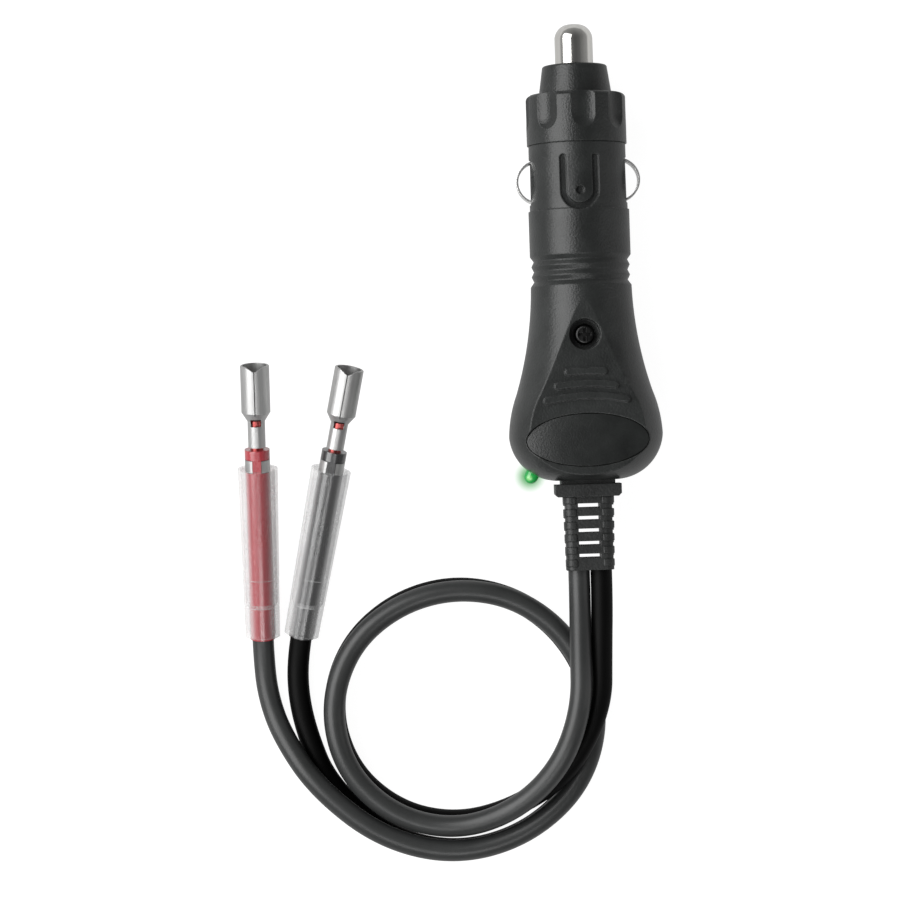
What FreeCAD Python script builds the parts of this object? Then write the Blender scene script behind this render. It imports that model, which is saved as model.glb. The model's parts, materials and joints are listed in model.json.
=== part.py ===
import FreeCAD, Part
import math
import os

import Sketcher
from FreeCAD import Placement, Rotation, Vector

# Car accessory plug with a looped pair of leads and two bullet terminals, in millimetres.
# The plug lies on its flat back. +Y runs along its axis to the pin, +Z is its front face,
# and the origin is under the middle of the plug with its strain relief.

DRIVING_SIZES = {
    # how far one feature runs into another, and how far a cut runs past what it cuts
    "join": 0.2,
    "overcut": 0.5,
    # along the plug's axis, from the nose to the leads
    "tip_reach": 8.6,
    "cap_cone_length": 6.0,
    "cap_ring_length": 10.4,
    "barrel_front_length": 13.7,
    "barrel_rear_length": 9.3,
    "ring_groove_pitch": 2.1,
    "handle_length": 40.2,
    "relief_neck_length": 0.8,
    "relief_flange_length": 2.6,
    "relief_body_length": 15.2,
    # contact tip
    "tip_radius": 3.95,
    "tip_nose_round": 3.1,
    "tip_shank_radius": 3.6,
    "tip_step_height": 0.3,
    "tip_flange_radius": 5.2,
    "tip_flange_thickness": 1.2,
    "tip_travel": 4.0,
    # nose cap
    "cap_ring_radius": 10.35,
    "cap_ring_round": 1.0,
    "cap_cone_base_radius": 7.55,
    "cap_cone_top_radius": 6.75,
    "cap_cone_round": 0.5,
    "cap_front_wall": 1.5,
    "cap_chamber_radius": 5.5,
    "cap_socket_depth": 9.2,
    "flute_width": 5.0,
    "flute_length": 7.2,
    "flute_depth": 0.95,
    "flute_scoop_radius": 5.0,
    "flute_turn": 7.0,
    # barrel
    "barrel_radius": 10.46,
    "barrel_front_radius": 10.15,
    "barrel_nose_radius": 10.05,
    "ring_groove_depth": 0.75,
    "ring_ridge_drop": 0.25,
    "collar_radius": 8.75,
    "collar_length": 9.0,
    "cap_clearance": 0.15,
    "groove_outer_width": 8.0,
    "groove_width": 1.4,
    "groove_length": 11.5,
    "groove_start": -0.35,
    "groove_floor": 8.9,
    "dimple_radius": 0.85,
    "dimple_depth": 0.8,
    # handle
    "half_thickness": 10.6,
    "flare_radius": 15.95,
    "flare_height": 9.2,
    "flare_bottom_radius": 5.6,
    "flare_corner_round": 10.0,
    "flare_shoulder_radius": 14.1,
    "flare_shoulder_height": 18.2,
    "flare_crown_round": 27.0,
    "flare_hollow_round": 78.0,
    "rib_height": 0.7,
    "rib_width": 1.4,
    "rib_pitch": 2.7,
    "rib_first_height": 22.3,
    "rib_first_length": 7.2,
    "rib_growth": 4.5,
    "rib_arch_radius": 35.0,
    "cavity_half_width": 7.0,
    "cavity_half_depth": 7.0,
    "cavity_start": 4.6,
    "cavity_end": 36.0,
    # fuse and spring
    "fuse_length": 32.0,
    "fuse_radius": 3.175,
    "fuse_cap_length": 6.0,
    "fuse_cap_wall": 0.2,
    "fuse_glass_wall": 0.5,
    "fuse_wire_radius": 0.15,
    "fuse_fit": 0.025,
    "bore_clearance": 0.4,
    "spring_wire_radius": 0.35,
    "spring_turns": 7.0,
    "seat_height": 37.2,
    "seat_thickness": 1.2,
    "seat_tail_offset": 2.5,
    "seat_tail_thickness": 0.5,
    "seat_tail_width": 2.0,
    # side contacts
    "contact_height": 61.9,
    "contact_reach": 12.8,
    "contact_bow_radius": 4.54,
    "contact_thickness": 0.4,
    "contact_width": 4.5,
    "contact_foot_reach": 7.5,
    "contact_foot_half_length": 5.6,
    "contact_travel": 2.0,
    "contact_clearance": 0.2,
    # screw
    "screw_height": 29.9,
    "screw_head_radius": 2.15,
    "screw_head_thickness": 1.6,
    "screw_radius": 1.25,
    "screw_length": 15.5,
    "screw_seat_depth": 3.0,
    "screw_fit": 0.05,
    "counterbore_radius": 3.2,
    "boss_radius": 2.4,
    "cross_slot_width": 0.7,
    "cross_slot_length": 2.7,
    "cross_slot_depth": 1.0,
    # lamp
    "lamp_x": -11.65,
    "lamp_height": 1.0,
    "lamp_angle": 30.0,
    "lamp_radius": 1.5,
    "lamp_dome_reach": 1.5,
    "lamp_body_length": 3.4,
    "lamp_rim_radius": 1.9,
    "lamp_rim_thickness": 0.8,
    "lamp_leg_radius": 0.25,
    "lamp_leg_spacing": 1.27,
    "lamp_leg_length": 4.6,
    "lamp_fit": 0.1,
    "lamp_seat_depth": 9.6,
    # board and resistor
    "board_half_width": 6.5,
    "board_start": 6.0,
    "board_end": 25.5,
    "board_half_thickness": 0.8,
    "board_rib_thickness": 1.2,
    "board_rib_first": 8.6,
    "board_rib_second": 21.5,
    "resistor_radius": 1.15,
    "resistor_length": 6.2,
    "resistor_leg_radius": 0.3,
    "resistor_leg_reach": 2.0,
    # oval inlay
    "inlay_length": 24.9,
    "inlay_width": 10.6,
    "inlay_height": 8.3,
    "inlay_floor": 9.0,
    "inlay_crown": 10.9,
    "inlay_crown_radius": 58.0,
    "inlay_seam": 0.15,
    # strain relief
    "relief_depth": 8.5,
    "relief_top_width": 10.4,
    "relief_end_width": 9.8,
    "relief_flange_width": 13.7,
    "relief_flange_depth": 10.4,
    "relief_flange_chamfer": 0.6,
    "relief_neck_width": 11.2,
    "relief_anchor_width": 13.6,
    "relief_anchor_start": 2.0,
    "relief_anchor_thickness": 1.5,
    "relief_fit": 0.1,
    "relief_corner_round": 1.6,
    "relief_window_width": 4.5,
    "relief_window_height": 0.85,
    "relief_window_pitch": 2.6,
    "relief_window_first": 1.4,
    "relief_notch_depth": 0.4,
    "relief_notch_height": 1.0,
    # leads and cores
    "lead_diameter": 4.5,
    "lead_offset": 2.3,
    "lead_exit_run": 6.5,
    "core_radius": 0.85,
    "core_offset": 3.35,
    "core_fit": 0.05,
    # terminals, from the sleeve's lower end to the mouth
    "terminal_tilt": 13.0,
    "terminal_mouth": 57.8,
    "terminal_shoulder_top": 48.0,
    "terminal_shoulder_end": 46.1,
    "terminal_neck_end": 40.6,
    "terminal_bore_radius": 2.5,
    "terminal_wall": 0.5,
    "terminal_neck_radius": 1.8,
    "terminal_neck_wall": 0.45,
    "terminal_slit_width": 0.2,
    "terminal_notch_depth": 1.0,
    "terminal_notch_width": 5.2,
    "terminal_window_length": 1.6,
    "wing_start": 35.5,
    "wing_length": 2.5,
    "wing_wall": 0.45,
    "wing_gap": 1.9,
    "wing_fit": 0.05,
    "strip_width": 2.2,
    "strand_radius": 1.3,
    "strand_end": 46.2,
    "jacket_end": 34.8,
    "marker_radius": 2.6,
    "marker_fit": 0.1,
    "marker_start": -0.6,
    "marker_end": 40.1,
    "marker_waist_radius": 2.1,
    "marker_waist_fit": 0.1,
    "marker_end_bore_start": 35.0,
    "strand_fit": 0.05,
    # clear sleeves
    "sleeve_length": 36.0,
    "sleeve_top_radius": 4.15,
    "sleeve_end_radius": 3.6,
    "sleeve_top_bore": 3.55,
    "sleeve_mid_bore": 3.35,
    "sleeve_grip_bore": 2.8,
    "sleeve_grip_length": 6.3,
    "sleeve_travel": 20.0,
    "sleeve_first_ring": 6.5,
    "sleeve_second_ring": 12.5,
    "sleeve_ring_depth": 0.12,
    "sleeve_ring_width": 0.5,
}

RING_GROOVES = 3
FLUTES = 8
RIBS = 3
RELIEF_WINDOWS = 5

# Where each terminal lies: X and Y of its sleeve's lower end, which rests on the surface, and the
# turn of its axis away from the plug's.
POSITIVE_PLACE = (-68.7, -68.5, 0.8)
NEGATIVE_PLACE = (-60.6, -68.4, 12.5)

# The leads' routes past the strain relief. Both leads lie on a surface at Z 0. The dark grey lead
# rides on the black one round the loop, and the pair passes over itself below the strain relief.
POSITIVE_ROUTE = [
    (-2.6, -72.9, 13.4),
    (-2.8, -84.8, 16.2),
    (-7.5, -97.0, 15.0),
    (-16.9, -106.0, 10.9),
    (-29.3, -110.1, 7.6),
    (-42.3, -106.9, 7.0),
    (-52.1, -97.3, 7.0),
    (-55.0, -83.8, 7.0),
    (-50.5, -71.0, 7.0),
    (-40.3, -62.7, 7.0),
    (-27.7, -59.6, 7.0),
    (-14.6, -62.3, 7.0),
    (-4.0, -71.5, 7.0),
    (1.3, -85.6, 7.0),
    (-2.5, -100.8, 7.0),
    (-14.2, -111.4, 7.0),
    (-29.5, -115.4, 7.0),
    (-45.1, -111.3, 7.1),
    (-58.1, -100.5, 7.1),
    (-65.2, -89.6, 4.4),
    (-68.1, -81.2, 2.3),
]
NEGATIVE_ROUTE = [
    (1.8, -73.2, 11.8),
    (1.4, -85.2, 12.7),
    (-5.7, -98.5, 10.6),
    (-17.0, -106.1, 5.6),
    (-29.3, -109.3, 2.5),
    (-41.7, -106.3, 2.3),
    (-51.5, -97.3, 2.3),
    (-55.1, -84.2, 2.3),
    (-50.9, -71.1, 2.3),
    (-40.7, -62.3, 2.3),
    (-27.7, -59.1, 2.3),
    (-14.5, -62.5, 2.3),
    (-4.1, -71.9, 2.3),
    (1.3, -86.0, 2.3),
    (-2.6, -101.1, 2.3),
    (-14.2, -111.7, 2.3),
    (-29.5, -115.6, 2.3),
    (-44.8, -111.3, 2.3),
    (-56.2, -99.9, 2.3),
    (-60.1, -89.5, 2.3),
    (-61.8, -80.6, 2.3),
]
# Stations of the straight stretch inside the marker tube, and how far each stands off its axis.
LEAD_END_STATIONS = [(-4.0, 0.0), (9.5, 0.04), (24.0, 0.04)]


class Size:
    """A length with the formula that gives it from the sheet's cells."""

    def __init__(self, value, formula):
        self.value = value
        self.formula = formula

    def combine(self, other, value, sign):
        return Size(value, "(%s %s %s)" % (self.formula, sign, size(other).formula))

    def __add__(self, other):
        return self.combine(other, self.value + size(other).value, "+")

    def __sub__(self, other):
        return self.combine(other, self.value - size(other).value, "-")

    def __mul__(self, other):
        return self.combine(other, self.value * size(other).value, "*")

    def __truediv__(self, other):
        return self.combine(other, self.value / size(other).value, "/")

    def __neg__(self):
        return Size(-self.value, "(-1 * %s)" % self.formula)


def size(number):
    """The number itself where it is a Size already, and otherwise a plain constant."""
    if isinstance(number, Size):
        return number
    return Size(float(number), "(%s)" % repr(float(number)))


doc = FreeCAD.newDocument("accessory_plug")
sheet = doc.addObject("Spreadsheet::Sheet", "Sizes")
for row, (alias, number) in enumerate(DRIVING_SIZES.items(), start=1):
    sheet.set("A%d" % row, alias)
    sheet.set("B%d" % row, repr(number))
    sheet.setAlias("B%d" % row, alias)
doc.recompute()


def cell(alias):
    """The size in one cell of the sheet."""
    return Size(float(sheet.get(alias)), "Sizes.%s" % alias)


ZERO = size(0.0)
sub_parts = []


def named_body(label):
    """An empty body that becomes one sub-part."""
    body = doc.addObject("PartDesign::Body", label)
    body.Label = label
    sub_parts.append(body)
    return body


def keep(label, feature):
    """Makes a finished object a sub-part under its label."""
    feature.Label = label
    sub_parts.append(feature)
    return feature


def origin_feature(body, role):
    """One of a body's own base planes or axes."""
    for feature in body.Origin.OriginFeatures:
        if feature.Role == role:
            return feature
    raise RuntimeError("no base feature " + role)


def sketch_on(body, name, plane="XY_Plane", lift=None):
    """A sketch on one of the body's base planes, lifted along that plane's normal."""
    sketch = body.newObject("Sketcher::SketchObject", name)
    sketch.AttachmentSupport = [(origin_feature(body, plane), "")]
    sketch.MapMode = "FlatFace"
    if lift is not None:
        sketch.setExpression("AttachmentOffset.Base.z", lift.formula)
    return sketch


def bind(sketch, constraint, target):
    """Adds one dimension to a sketch and ties it to its formula."""
    index = sketch.addConstraint(constraint)
    sketch.setExpression("Constraints[%d]" % index, target.formula)


def pin_point(sketch, edge, end, x, y):
    """Ties one point of a sketch to its place from the sketch's origin."""
    for target, kind, axis in ((x, "DistanceX", -2), (y, "DistanceY", -1)):
        if target is ZERO:
            sketch.addConstraint(Sketcher.Constraint("PointOnObject", edge, end, axis))
        else:
            bind(sketch, Sketcher.Constraint(kind, -1, 1, edge, end, target.value), target)


def arc_edge(start, end, bend):
    """An arc from start to end. A positive bend turns anticlockwise, a negative one clockwise."""
    radius = abs(bend)
    middle = (start + end) * 0.5
    half = (end - start).Length / 2.0
    across = Vector(start.y - end.y, end.x - start.x, 0).normalize()
    offset = math.sqrt(max(radius * radius - half * half, 0.0))
    centre = middle + across * (offset if bend > 0 else -offset)
    first, last = (start, end) if bend > 0 else (end, start)
    first_angle = math.atan2(first.y - centre.y, first.x - centre.x)
    last_angle = math.atan2(last.y - centre.y, last.x - centre.x)
    if last_angle <= first_angle:
        last_angle += 2.0 * math.pi
    circle = Part.Circle(centre, Vector(0, 0, 1), radius)
    return Part.ArcOfCircle(circle, first_angle, last_angle)


def outline(sketch, corners):
    """Draws a closed outline. A corner is (x, y), or (x, y, bend) where an arc leaves it."""
    corners = [(size(c[0]) if c[0] is not ZERO else ZERO,
                size(c[1]) if c[1] is not ZERO else ZERO,
                size(c[2]) if len(c) > 2 else None) for c in corners]
    points = [Vector(x.value, y.value, 0) for x, y, bend in corners]
    ends = []
    first = len(sketch.Geometry)
    for i, (x, y, bend) in enumerate(corners):
        start, end = points[i], points[(i + 1) % len(points)]
        if bend is None:
            sketch.addGeometry(Part.LineSegment(start, end), False)
            ends.append((1, 2))
        else:
            sketch.addGeometry(arc_edge(start, end, bend.value), False)
            ends.append((1, 2) if bend.value > 0 else (2, 1))
    for i in range(len(corners)):
        before = (i - 1) % len(corners)
        sketch.addConstraint(Sketcher.Constraint(
            "Coincident", first + before, ends[before][1], first + i, ends[i][0]))
    for i, (x, y, bend) in enumerate(corners):
        pin_point(sketch, first + i, ends[i][0], x, y)
        if bend is not None:
            radius = bend if bend.value > 0 else -bend
            bind(sketch, Sketcher.Constraint("Radius", first + i, radius.value), radius)
    return sketch


def box_outline(sketch, left, right, low, high):
    """Draws an upright rectangle."""
    return outline(sketch, [(left, low), (right, low), (right, high), (left, high)])


def circle(sketch, x, y, radius):
    """Draws one circle."""
    x, y, radius = (size(v) if v is not ZERO else ZERO for v in (x, y, radius))
    index = sketch.addGeometry(
        Part.Circle(Vector(x.value, y.value, 0), Vector(0, 0, 1), radius.value), False)
    pin_point(sketch, index, 3, x, y)
    bind(sketch, Sketcher.Constraint("Radius", index, radius.value), radius)
    return sketch


def revolve(body, name, sketch, angle=360.0, backwards=False, kind="PartDesign::Revolution"):
    """Turns a sketch about its own upright axis."""
    feature = body.newObject(kind, name)
    feature.Profile = sketch
    feature.ReferenceAxis = (sketch, ["V_Axis"])
    feature.Angle = angle
    feature.Reversed = backwards
    return feature


def pad(body, name, sketch, length, backwards=False, both_ways=False):
    """Raises a sketch along its normal."""
    feature = body.newObject("PartDesign::Pad", name)
    feature.Profile = sketch
    feature.setExpression("Length", size(length).formula)
    feature.Reversed = backwards
    feature.Midplane = both_ways
    return feature


def pocket(body, name, sketch, length, outwards=False, both_ways=False):
    """Cuts a sketch into the body against its normal, or along it where outwards is set."""
    feature = body.newObject("PartDesign::Pocket", name)
    feature.Profile = sketch
    feature.setExpression("Length", size(length).formula)
    feature.Reversed = outwards
    feature.Midplane = both_ways
    return feature


def place(feature, x=ZERO, y=ZERO, z=ZERO):
    """Ties an object's place to its formulas."""
    for axis, target in (("x", x), ("y", y), ("z", z)):
        feature.setExpression("Placement.Base." + axis, size(target).formula)
    return feature


# Stations along the plug's axis, worked out from the lengths of its stretches.
axis_height = cell("half_thickness")
relief_length = (cell("relief_neck_length") + cell("relief_flange_length")
                 + cell("relief_body_length"))
grooves_length = cell("ring_groove_pitch") * RING_GROOVES
barrel_length = cell("barrel_rear_length") + cell("barrel_front_length")
cap_length = cell("cap_ring_length") + cell("cap_cone_length")
plug_length = (relief_length + cell("handle_length") + grooves_length + barrel_length
               + cap_length + cell("tip_reach"))
handle_end = relief_length - plug_length / 2
step_height = cell("handle_length") + grooves_length + cell("barrel_rear_length")
cap_seat_height = cell("handle_length") + grooves_length + barrel_length
cap_top_height = cap_seat_height + cap_length
fuse_end_height = (cap_top_height - cell("cap_front_wall") - cell("cap_clearance")
                   - cell("tip_flange_thickness") - cell("fuse_length"))
bore_radius = cell("fuse_radius") + cell("bore_clearance")
seat_top_height = cell("seat_height") + cell("seat_thickness")


def place_on_axis(feature, height):
    """Puts an object on the plug's axis, at a height above the handle's end."""
    return place(feature, ZERO, handle_end + height, axis_height)


def shell_outline(sketch):
    """Half of the section that the barrel and handle turn, outside and down the bore."""
    radius = cell("barrel_radius")
    groove = radius - cell("ring_groove_depth")
    ridge = radius - cell("ring_ridge_drop")
    pitch = cell("ring_groove_pitch")
    corners = [
        (ZERO, ZERO),
        (cell("flare_bottom_radius"), ZERO, cell("flare_corner_round")),
        (cell("flare_radius"), cell("flare_height"), cell("flare_crown_round")),
        (cell("flare_shoulder_radius"), cell("flare_shoulder_height"), -cell("flare_hollow_round")),
    ]
    for groove_number in range(RING_GROOVES):
        height = cell("handle_length") + pitch * groove_number
        corners.append((radius if groove_number == 0 else ridge, height))
        corners.append((groove, height + pitch / 2))
    corners += [
        (radius, cell("handle_length") + grooves_length),
        (radius, step_height),
        (cell("barrel_front_radius"), step_height),
        (cell("barrel_nose_radius"), cap_seat_height),
        (cell("collar_radius"), cap_seat_height),
        (cell("collar_radius"), cap_seat_height + cell("collar_length")),
        (bore_radius, cap_seat_height + cell("collar_length")),
        (bore_radius, cell("seat_height")),
        (ZERO, cell("seat_height")),
    ]
    return outline(sketch, corners)


def lamp_seat_shape():
    """The lamp's seat, which opens from the cavity through the handle's lower left corner."""
    turn = math.radians(cell("lamp_angle").value)
    inward = Vector(math.sin(turn), math.cos(turn), 0)
    foot = Vector(cell("lamp_x").value, cell("lamp_height").value, 0)
    fit = cell("lamp_fit").value
    body_length = cell("lamp_body_length").value
    outside = cell("lamp_dome_reach").value * 2.0
    mouth = Part.makeCylinder(cell("lamp_radius").value + fit, outside + body_length,
                              foot - inward * outside, inward)
    rim_start = body_length - cell("lamp_rim_thickness").value - fit
    rim = Part.makeCylinder(cell("lamp_rim_radius").value + fit,
                            cell("lamp_seat_depth").value - rim_start,
                            foot + inward * rim_start, inward)
    return mouth.fuse(rim)


def housing_shell(label, front):
    """One half of the housing. The front half has Z above the parting plane."""
    body = named_body(label)
    place_on_axis(body, ZERO)
    side = 1.0 if front else -1.0

    def lifted(height):
        return size(height) * side

    turned = revolve(body, label + "_turned", shell_outline(sketch_on(body, label + "_section")),
                     angle=180.0, backwards=front)
    body.Tip = turned
    doc.recompute()

    reach = cell("flare_radius") * 2
    facet = sketch_on(body, label + "_facet", lift=lifted(cell("half_thickness")))
    box_outline(facet, -reach, reach, -reach, cap_top_height)
    pocket(body, label + "_flat", facet, reach, outwards=front)

    cavity = sketch_on(body, label + "_cavity_sketch")
    box_outline(cavity, -cell("cavity_half_width"), cell("cavity_half_width"),
                cell("cavity_start"), cell("cavity_end"))
    pocket(body, label + "_cavity", cavity, cell("cavity_half_depth"), outwards=front)

    boss = sketch_on(body, label + "_boss_sketch")
    circle(boss, ZERO, cell("screw_height"), cell("boss_radius"))
    pad(body, label + "_boss", boss, cell("cavity_half_depth") + 0.5, backwards=not front)

    for number, alias in enumerate(("board_rib_first", "board_rib_second")):
        rib = sketch_on(body, "%s_board_rib_sketch_%d" % (label, number),
                        lift=lifted(cell("board_half_thickness")))
        box_outline(rib, -cell("cavity_half_width") - 0.5, cell("cavity_half_width") + 0.5,
                    cell(alias), cell(alias) + cell("board_rib_thickness"))
        pad(body, "%s_board_rib_%d" % (label, number), rib,
            cell("cavity_half_depth") - cell("board_half_thickness") + 0.5, backwards=not front)

    tail = sketch_on(body, label + "_tail_slot_sketch")
    tail_clear = cell("contact_clearance")
    box_outline(tail, cell("seat_tail_offset") - tail_clear,
                cell("seat_tail_offset") + cell("seat_tail_thickness") + tail_clear,
                cell("cavity_end") - 0.2, cell("seat_height") + 0.2)
    pocket(body, label + "_tail_slot", tail, cell("seat_tail_width") / 2 + tail_clear,
           outwards=front)

    for hand, word in ((1.0, "right"), (-1.0, "left")):
        window_half = cell("contact_bow_radius") + cell("contact_clearance")
        window_depth = cell("contact_width") / 2 + cell("contact_clearance")
        floor = (cell("contact_foot_reach") - cell("contact_thickness") - cell("contact_travel")
                 - cell("contact_clearance") / 2)
        lip = cell("contact_foot_reach") + cell("contact_clearance") / 2
        foot_half = cell("contact_foot_half_length") + cell("contact_clearance")
        height = cell("contact_height")
        window = sketch_on(body, "%s_%s_window_sketch" % (label, word))
        outline(window, [
            (floor * hand, height - foot_half),
            (lip * hand, height - foot_half),
            (lip * hand, height - window_half),
            (cell("barrel_radius") * 1.2 * hand, height - window_half),
            (cell("barrel_radius") * 1.2 * hand, height + window_half),
            (lip * hand, height + window_half),
            (lip * hand, height + foot_half),
            (floor * hand, height + foot_half),
        ])
        pocket(body, "%s_%s_window" % (label, word), window, window_depth, outwards=front)

    relief_opening(body, label, front)

    for hand, word in ((1.0, "right"), (-1.0, "left")):
        core = sketch_on(body, "%s_%s_core_sketch" % (label, word), plane="XZ_Plane",
                         lift=-cell("cavity_start") - 0.5)
        circle(core, cell("core_offset") * hand, ZERO, cell("core_radius") + cell("core_fit"))
        pocket(body, "%s_%s_core_hole" % (label, word), core, cell("cavity_start"),
               outwards=True)
    return body


def relief_opening(body, label, front):
    """The mouth and the anchor slot that hold the strain relief, half in each shell."""
    fit = cell("relief_fit")
    mouth = sketch_on(body, label + "_mouth_sketch")
    half_neck = cell("relief_neck_width") / 2 + fit
    box_outline(mouth, -half_neck, half_neck, size(-2.0), cell("relief_anchor_start") + 0.1)
    pocket(body, label + "_mouth", mouth, cell("relief_depth") / 2 + fit, outwards=front)
    slot = sketch_on(body, label + "_anchor_slot_sketch")
    half_anchor = cell("relief_anchor_width") / 2 + fit
    box_outline(slot, -half_anchor, half_anchor, cell("relief_anchor_start") - fit,
                cell("relief_anchor_start") + cell("relief_anchor_thickness") + fit)
    pocket(body, label + "_anchor_slot", slot, cell("relief_flange_depth") / 2 + fit,
           outwards=front)


def finish_front_shell(body):
    """The U groove with its dimple, the grip ribs, the inlay's recess and the screw's seat."""
    half = cell("groove_outer_width") / 2
    inner = half - cell("groove_width")
    low = step_height + cell("groove_start") + half
    high = (step_height + cell("groove_start") + cell("groove_length")
            - cell("groove_width") / 2)
    groove = sketch_on(body, "groove_sketch", lift=cell("groove_floor"))
    leg_round = cell("groove_width") / 2
    outline(groove, [
        (-half, low, half),
        (ZERO, low - half, half),
        (half, low),
        (half, high, leg_round),
        (half - leg_round, high + leg_round, leg_round),
        (inner, high),
        (inner, low, -inner),
        (ZERO, low - inner, -inner),
        (-inner, low),
        (-inner, high, leg_round),
        (-half + leg_round, high + leg_round, leg_round),
        (-half, high),
    ])
    pocket(body, "groove", groove, cell("barrel_radius"), outwards=True)

    dimple = sketch_on(body, "dimple_sketch",
                       lift=cell("barrel_front_radius") - cell("dimple_depth"))
    circle(dimple, ZERO, low, cell("dimple_radius"))
    pocket(body, "dimple", dimple, cell("barrel_radius"), outwards=True)

    recess = sketch_on(body, "inlay_recess_sketch", lift=cell("inlay_floor"))
    ellipse_outline(recess, cell("inlay_length") / 2 + cell("inlay_seam"),
                    cell("inlay_width") / 2 + cell("inlay_seam"), cell("inlay_height"))
    pocket(body, "inlay_recess", recess, cell("half_thickness"), outwards=True)

    for number in range(RIBS):
        rib = sketch_on(body, "grip_rib_sketch_%d" % number, lift=cell("half_thickness") - cell("join"))
        rib_outline(rib, number)
        pad(body, "grip_rib_%d" % number, rib, cell("rib_height") + cell("join"))

    seat = sketch_on(body, "counterbore_sketch",
                     lift=cell("half_thickness") - cell("screw_seat_depth"))
    circle(seat, ZERO, cell("screw_height"), cell("counterbore_radius"))
    pocket(body, "counterbore", seat, cell("half_thickness"), outwards=True)
    shank = sketch_on(body, "screw_hole_sketch")
    circle(shank, ZERO, cell("screw_height"), cell("screw_radius") + cell("screw_fit"))
    pocket(body, "screw_hole", shank, cell("half_thickness"), outwards=True)


def ellipse_outline(sketch, long_half, short_half, height):
    """Draws an ellipse that lies across the plug."""
    centre = Vector(0, height.value, 0)
    ellipse = Part.Ellipse(centre + Vector(long_half.value, 0, 0),
                           centre + Vector(0, short_half.value, 0), centre)
    index = sketch.addGeometry(ellipse, False)
    sketch.exposeInternalGeometry(index)
    pin_point(sketch, index, 3, ZERO, height)
    long_axis, short_axis = index + 1, index + 2
    sketch.addConstraint(Sketcher.Constraint("Horizontal", long_axis))
    bind(sketch, Sketcher.Constraint("Distance", long_axis, long_half.value * 2), long_half * 2)
    bind(sketch, Sketcher.Constraint("Distance", short_axis, short_half.value * 2), short_half * 2)
    return sketch


def rib_outline(sketch, number):
    """A grip rib, longer and more arched the nearer it lies to the inlay."""
    half = (cell("rib_first_length") + cell("rib_growth") * number) / 2
    height = cell("rib_first_height") - cell("rib_pitch") * number
    thick = cell("rib_width") / 2
    arch = cell("rib_arch_radius")
    sag = (half * half) / (arch * 2)
    ends = height - sag / 2
    outline(sketch, [
        (half, ends - thick, thick),
        (half + thick, ends, thick),
        (half, ends + thick, arch),
        (-half, ends + thick, thick),
        (-half - thick, ends, thick),
        (-half, ends - thick, -arch),
    ])
    return sketch


def finish_rear_shell(body):
    """The screw's blind pilot hole."""
    shank = sketch_on(body, "pilot_hole_sketch")
    circle(shank, ZERO, cell("screw_height"), cell("screw_radius") + cell("screw_fit"))
    depth = (cell("screw_length") - cell("half_thickness") + cell("screw_seat_depth")
             + cell("screw_fit"))
    pocket(body, "pilot_hole", shank, depth)


def nose_cap():
    """Fluted screw cap, open at its foot for the housing's collar and at its top for the tip."""
    body = named_body("nose_cap")
    place_on_axis(body, cap_seat_height)
    ring = cell("cap_ring_length")
    edge = cell("cap_ring_round")
    cone_edge = cell("cap_cone_round")
    wall = cap_length - cell("cap_front_wall")
    hole = cell("tip_radius") + cell("cap_clearance")
    socket = cell("collar_radius") + cell("cap_clearance")
    outline(sketch_on(body, "cap_section"), [
        (socket, ZERO),
        (cell("cap_ring_radius"), ZERO),
        (cell("cap_ring_radius"), ring - edge, edge),
        (cell("cap_ring_radius") - edge, ring),
        (cell("cap_cone_base_radius"), ring),
        (cell("cap_cone_top_radius"), cap_length - cone_edge, cone_edge),
        (cell("cap_cone_top_radius") - cone_edge, cap_length),
        (hole, cap_length),
        (hole, wall),
        (cell("cap_chamber_radius"), wall),
        (cell("cap_chamber_radius"), cell("cap_socket_depth")),
        (socket, cell("cap_socket_depth")),
    ])
    body.Tip = revolve(body, "cap_turned", doc.getObject("cap_section"))
    doc.recompute()
    scoop = cell("flute_scoop_radius")
    flute = sketch_on(body, "flute_sketch",
                      lift=cell("cap_ring_radius") - cell("flute_depth") + scoop)
    low = ring - cell("flute_length") + cell("flute_width") / 2
    above = ring + cell("overcut")
    outline(flute, [(ZERO, low - scoop, scoop), (scoop, low), (scoop, above), (ZERO, above)])
    first = revolve(body, "flute", flute, kind="PartDesign::Groove")
    pattern = body.newObject("PartDesign::PolarPattern", "flutes")
    pattern.Originals = [first]
    pattern.Axis = (origin_feature(body, "Y_Axis"), [""])
    pattern.Angle = 360
    pattern.Occurrences = FLUTES
    body.Tip = pattern
    body.setExpression("Placement.Rotation.Angle", "%s * 1 deg" % cell("flute_turn").formula)
    body.Placement.Rotation = Rotation(Vector(0, 1, 0), cell("flute_turn").value)
    return body


def contact_tip():
    """Round-nosed pin with the flange that the cap holds back."""
    body = named_body("contact_tip")
    place_on_axis(body, cap_top_height)
    radius = cell("tip_radius")
    shank = cell("tip_shank_radius")
    nose = cell("tip_nose_round")
    flange_top = -(cell("cap_front_wall") + cell("cap_clearance"))
    flange_end = flange_top - cell("tip_flange_thickness")
    outline(sketch_on(body, "tip_section"), [
        (ZERO, flange_end),
        (cell("tip_flange_radius"), flange_end),
        (cell("tip_flange_radius"), flange_top),
        (shank, flange_top),
        (shank, cell("tip_step_height")),
        (radius, cell("tip_step_height")),
        (radius, cell("tip_reach") - nose, nose),
        (radius - nose, cell("tip_reach")),
        (ZERO, cell("tip_reach")),
    ])
    revolve(body, "tip_turned", doc.getObject("tip_section"))
    return body


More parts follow.
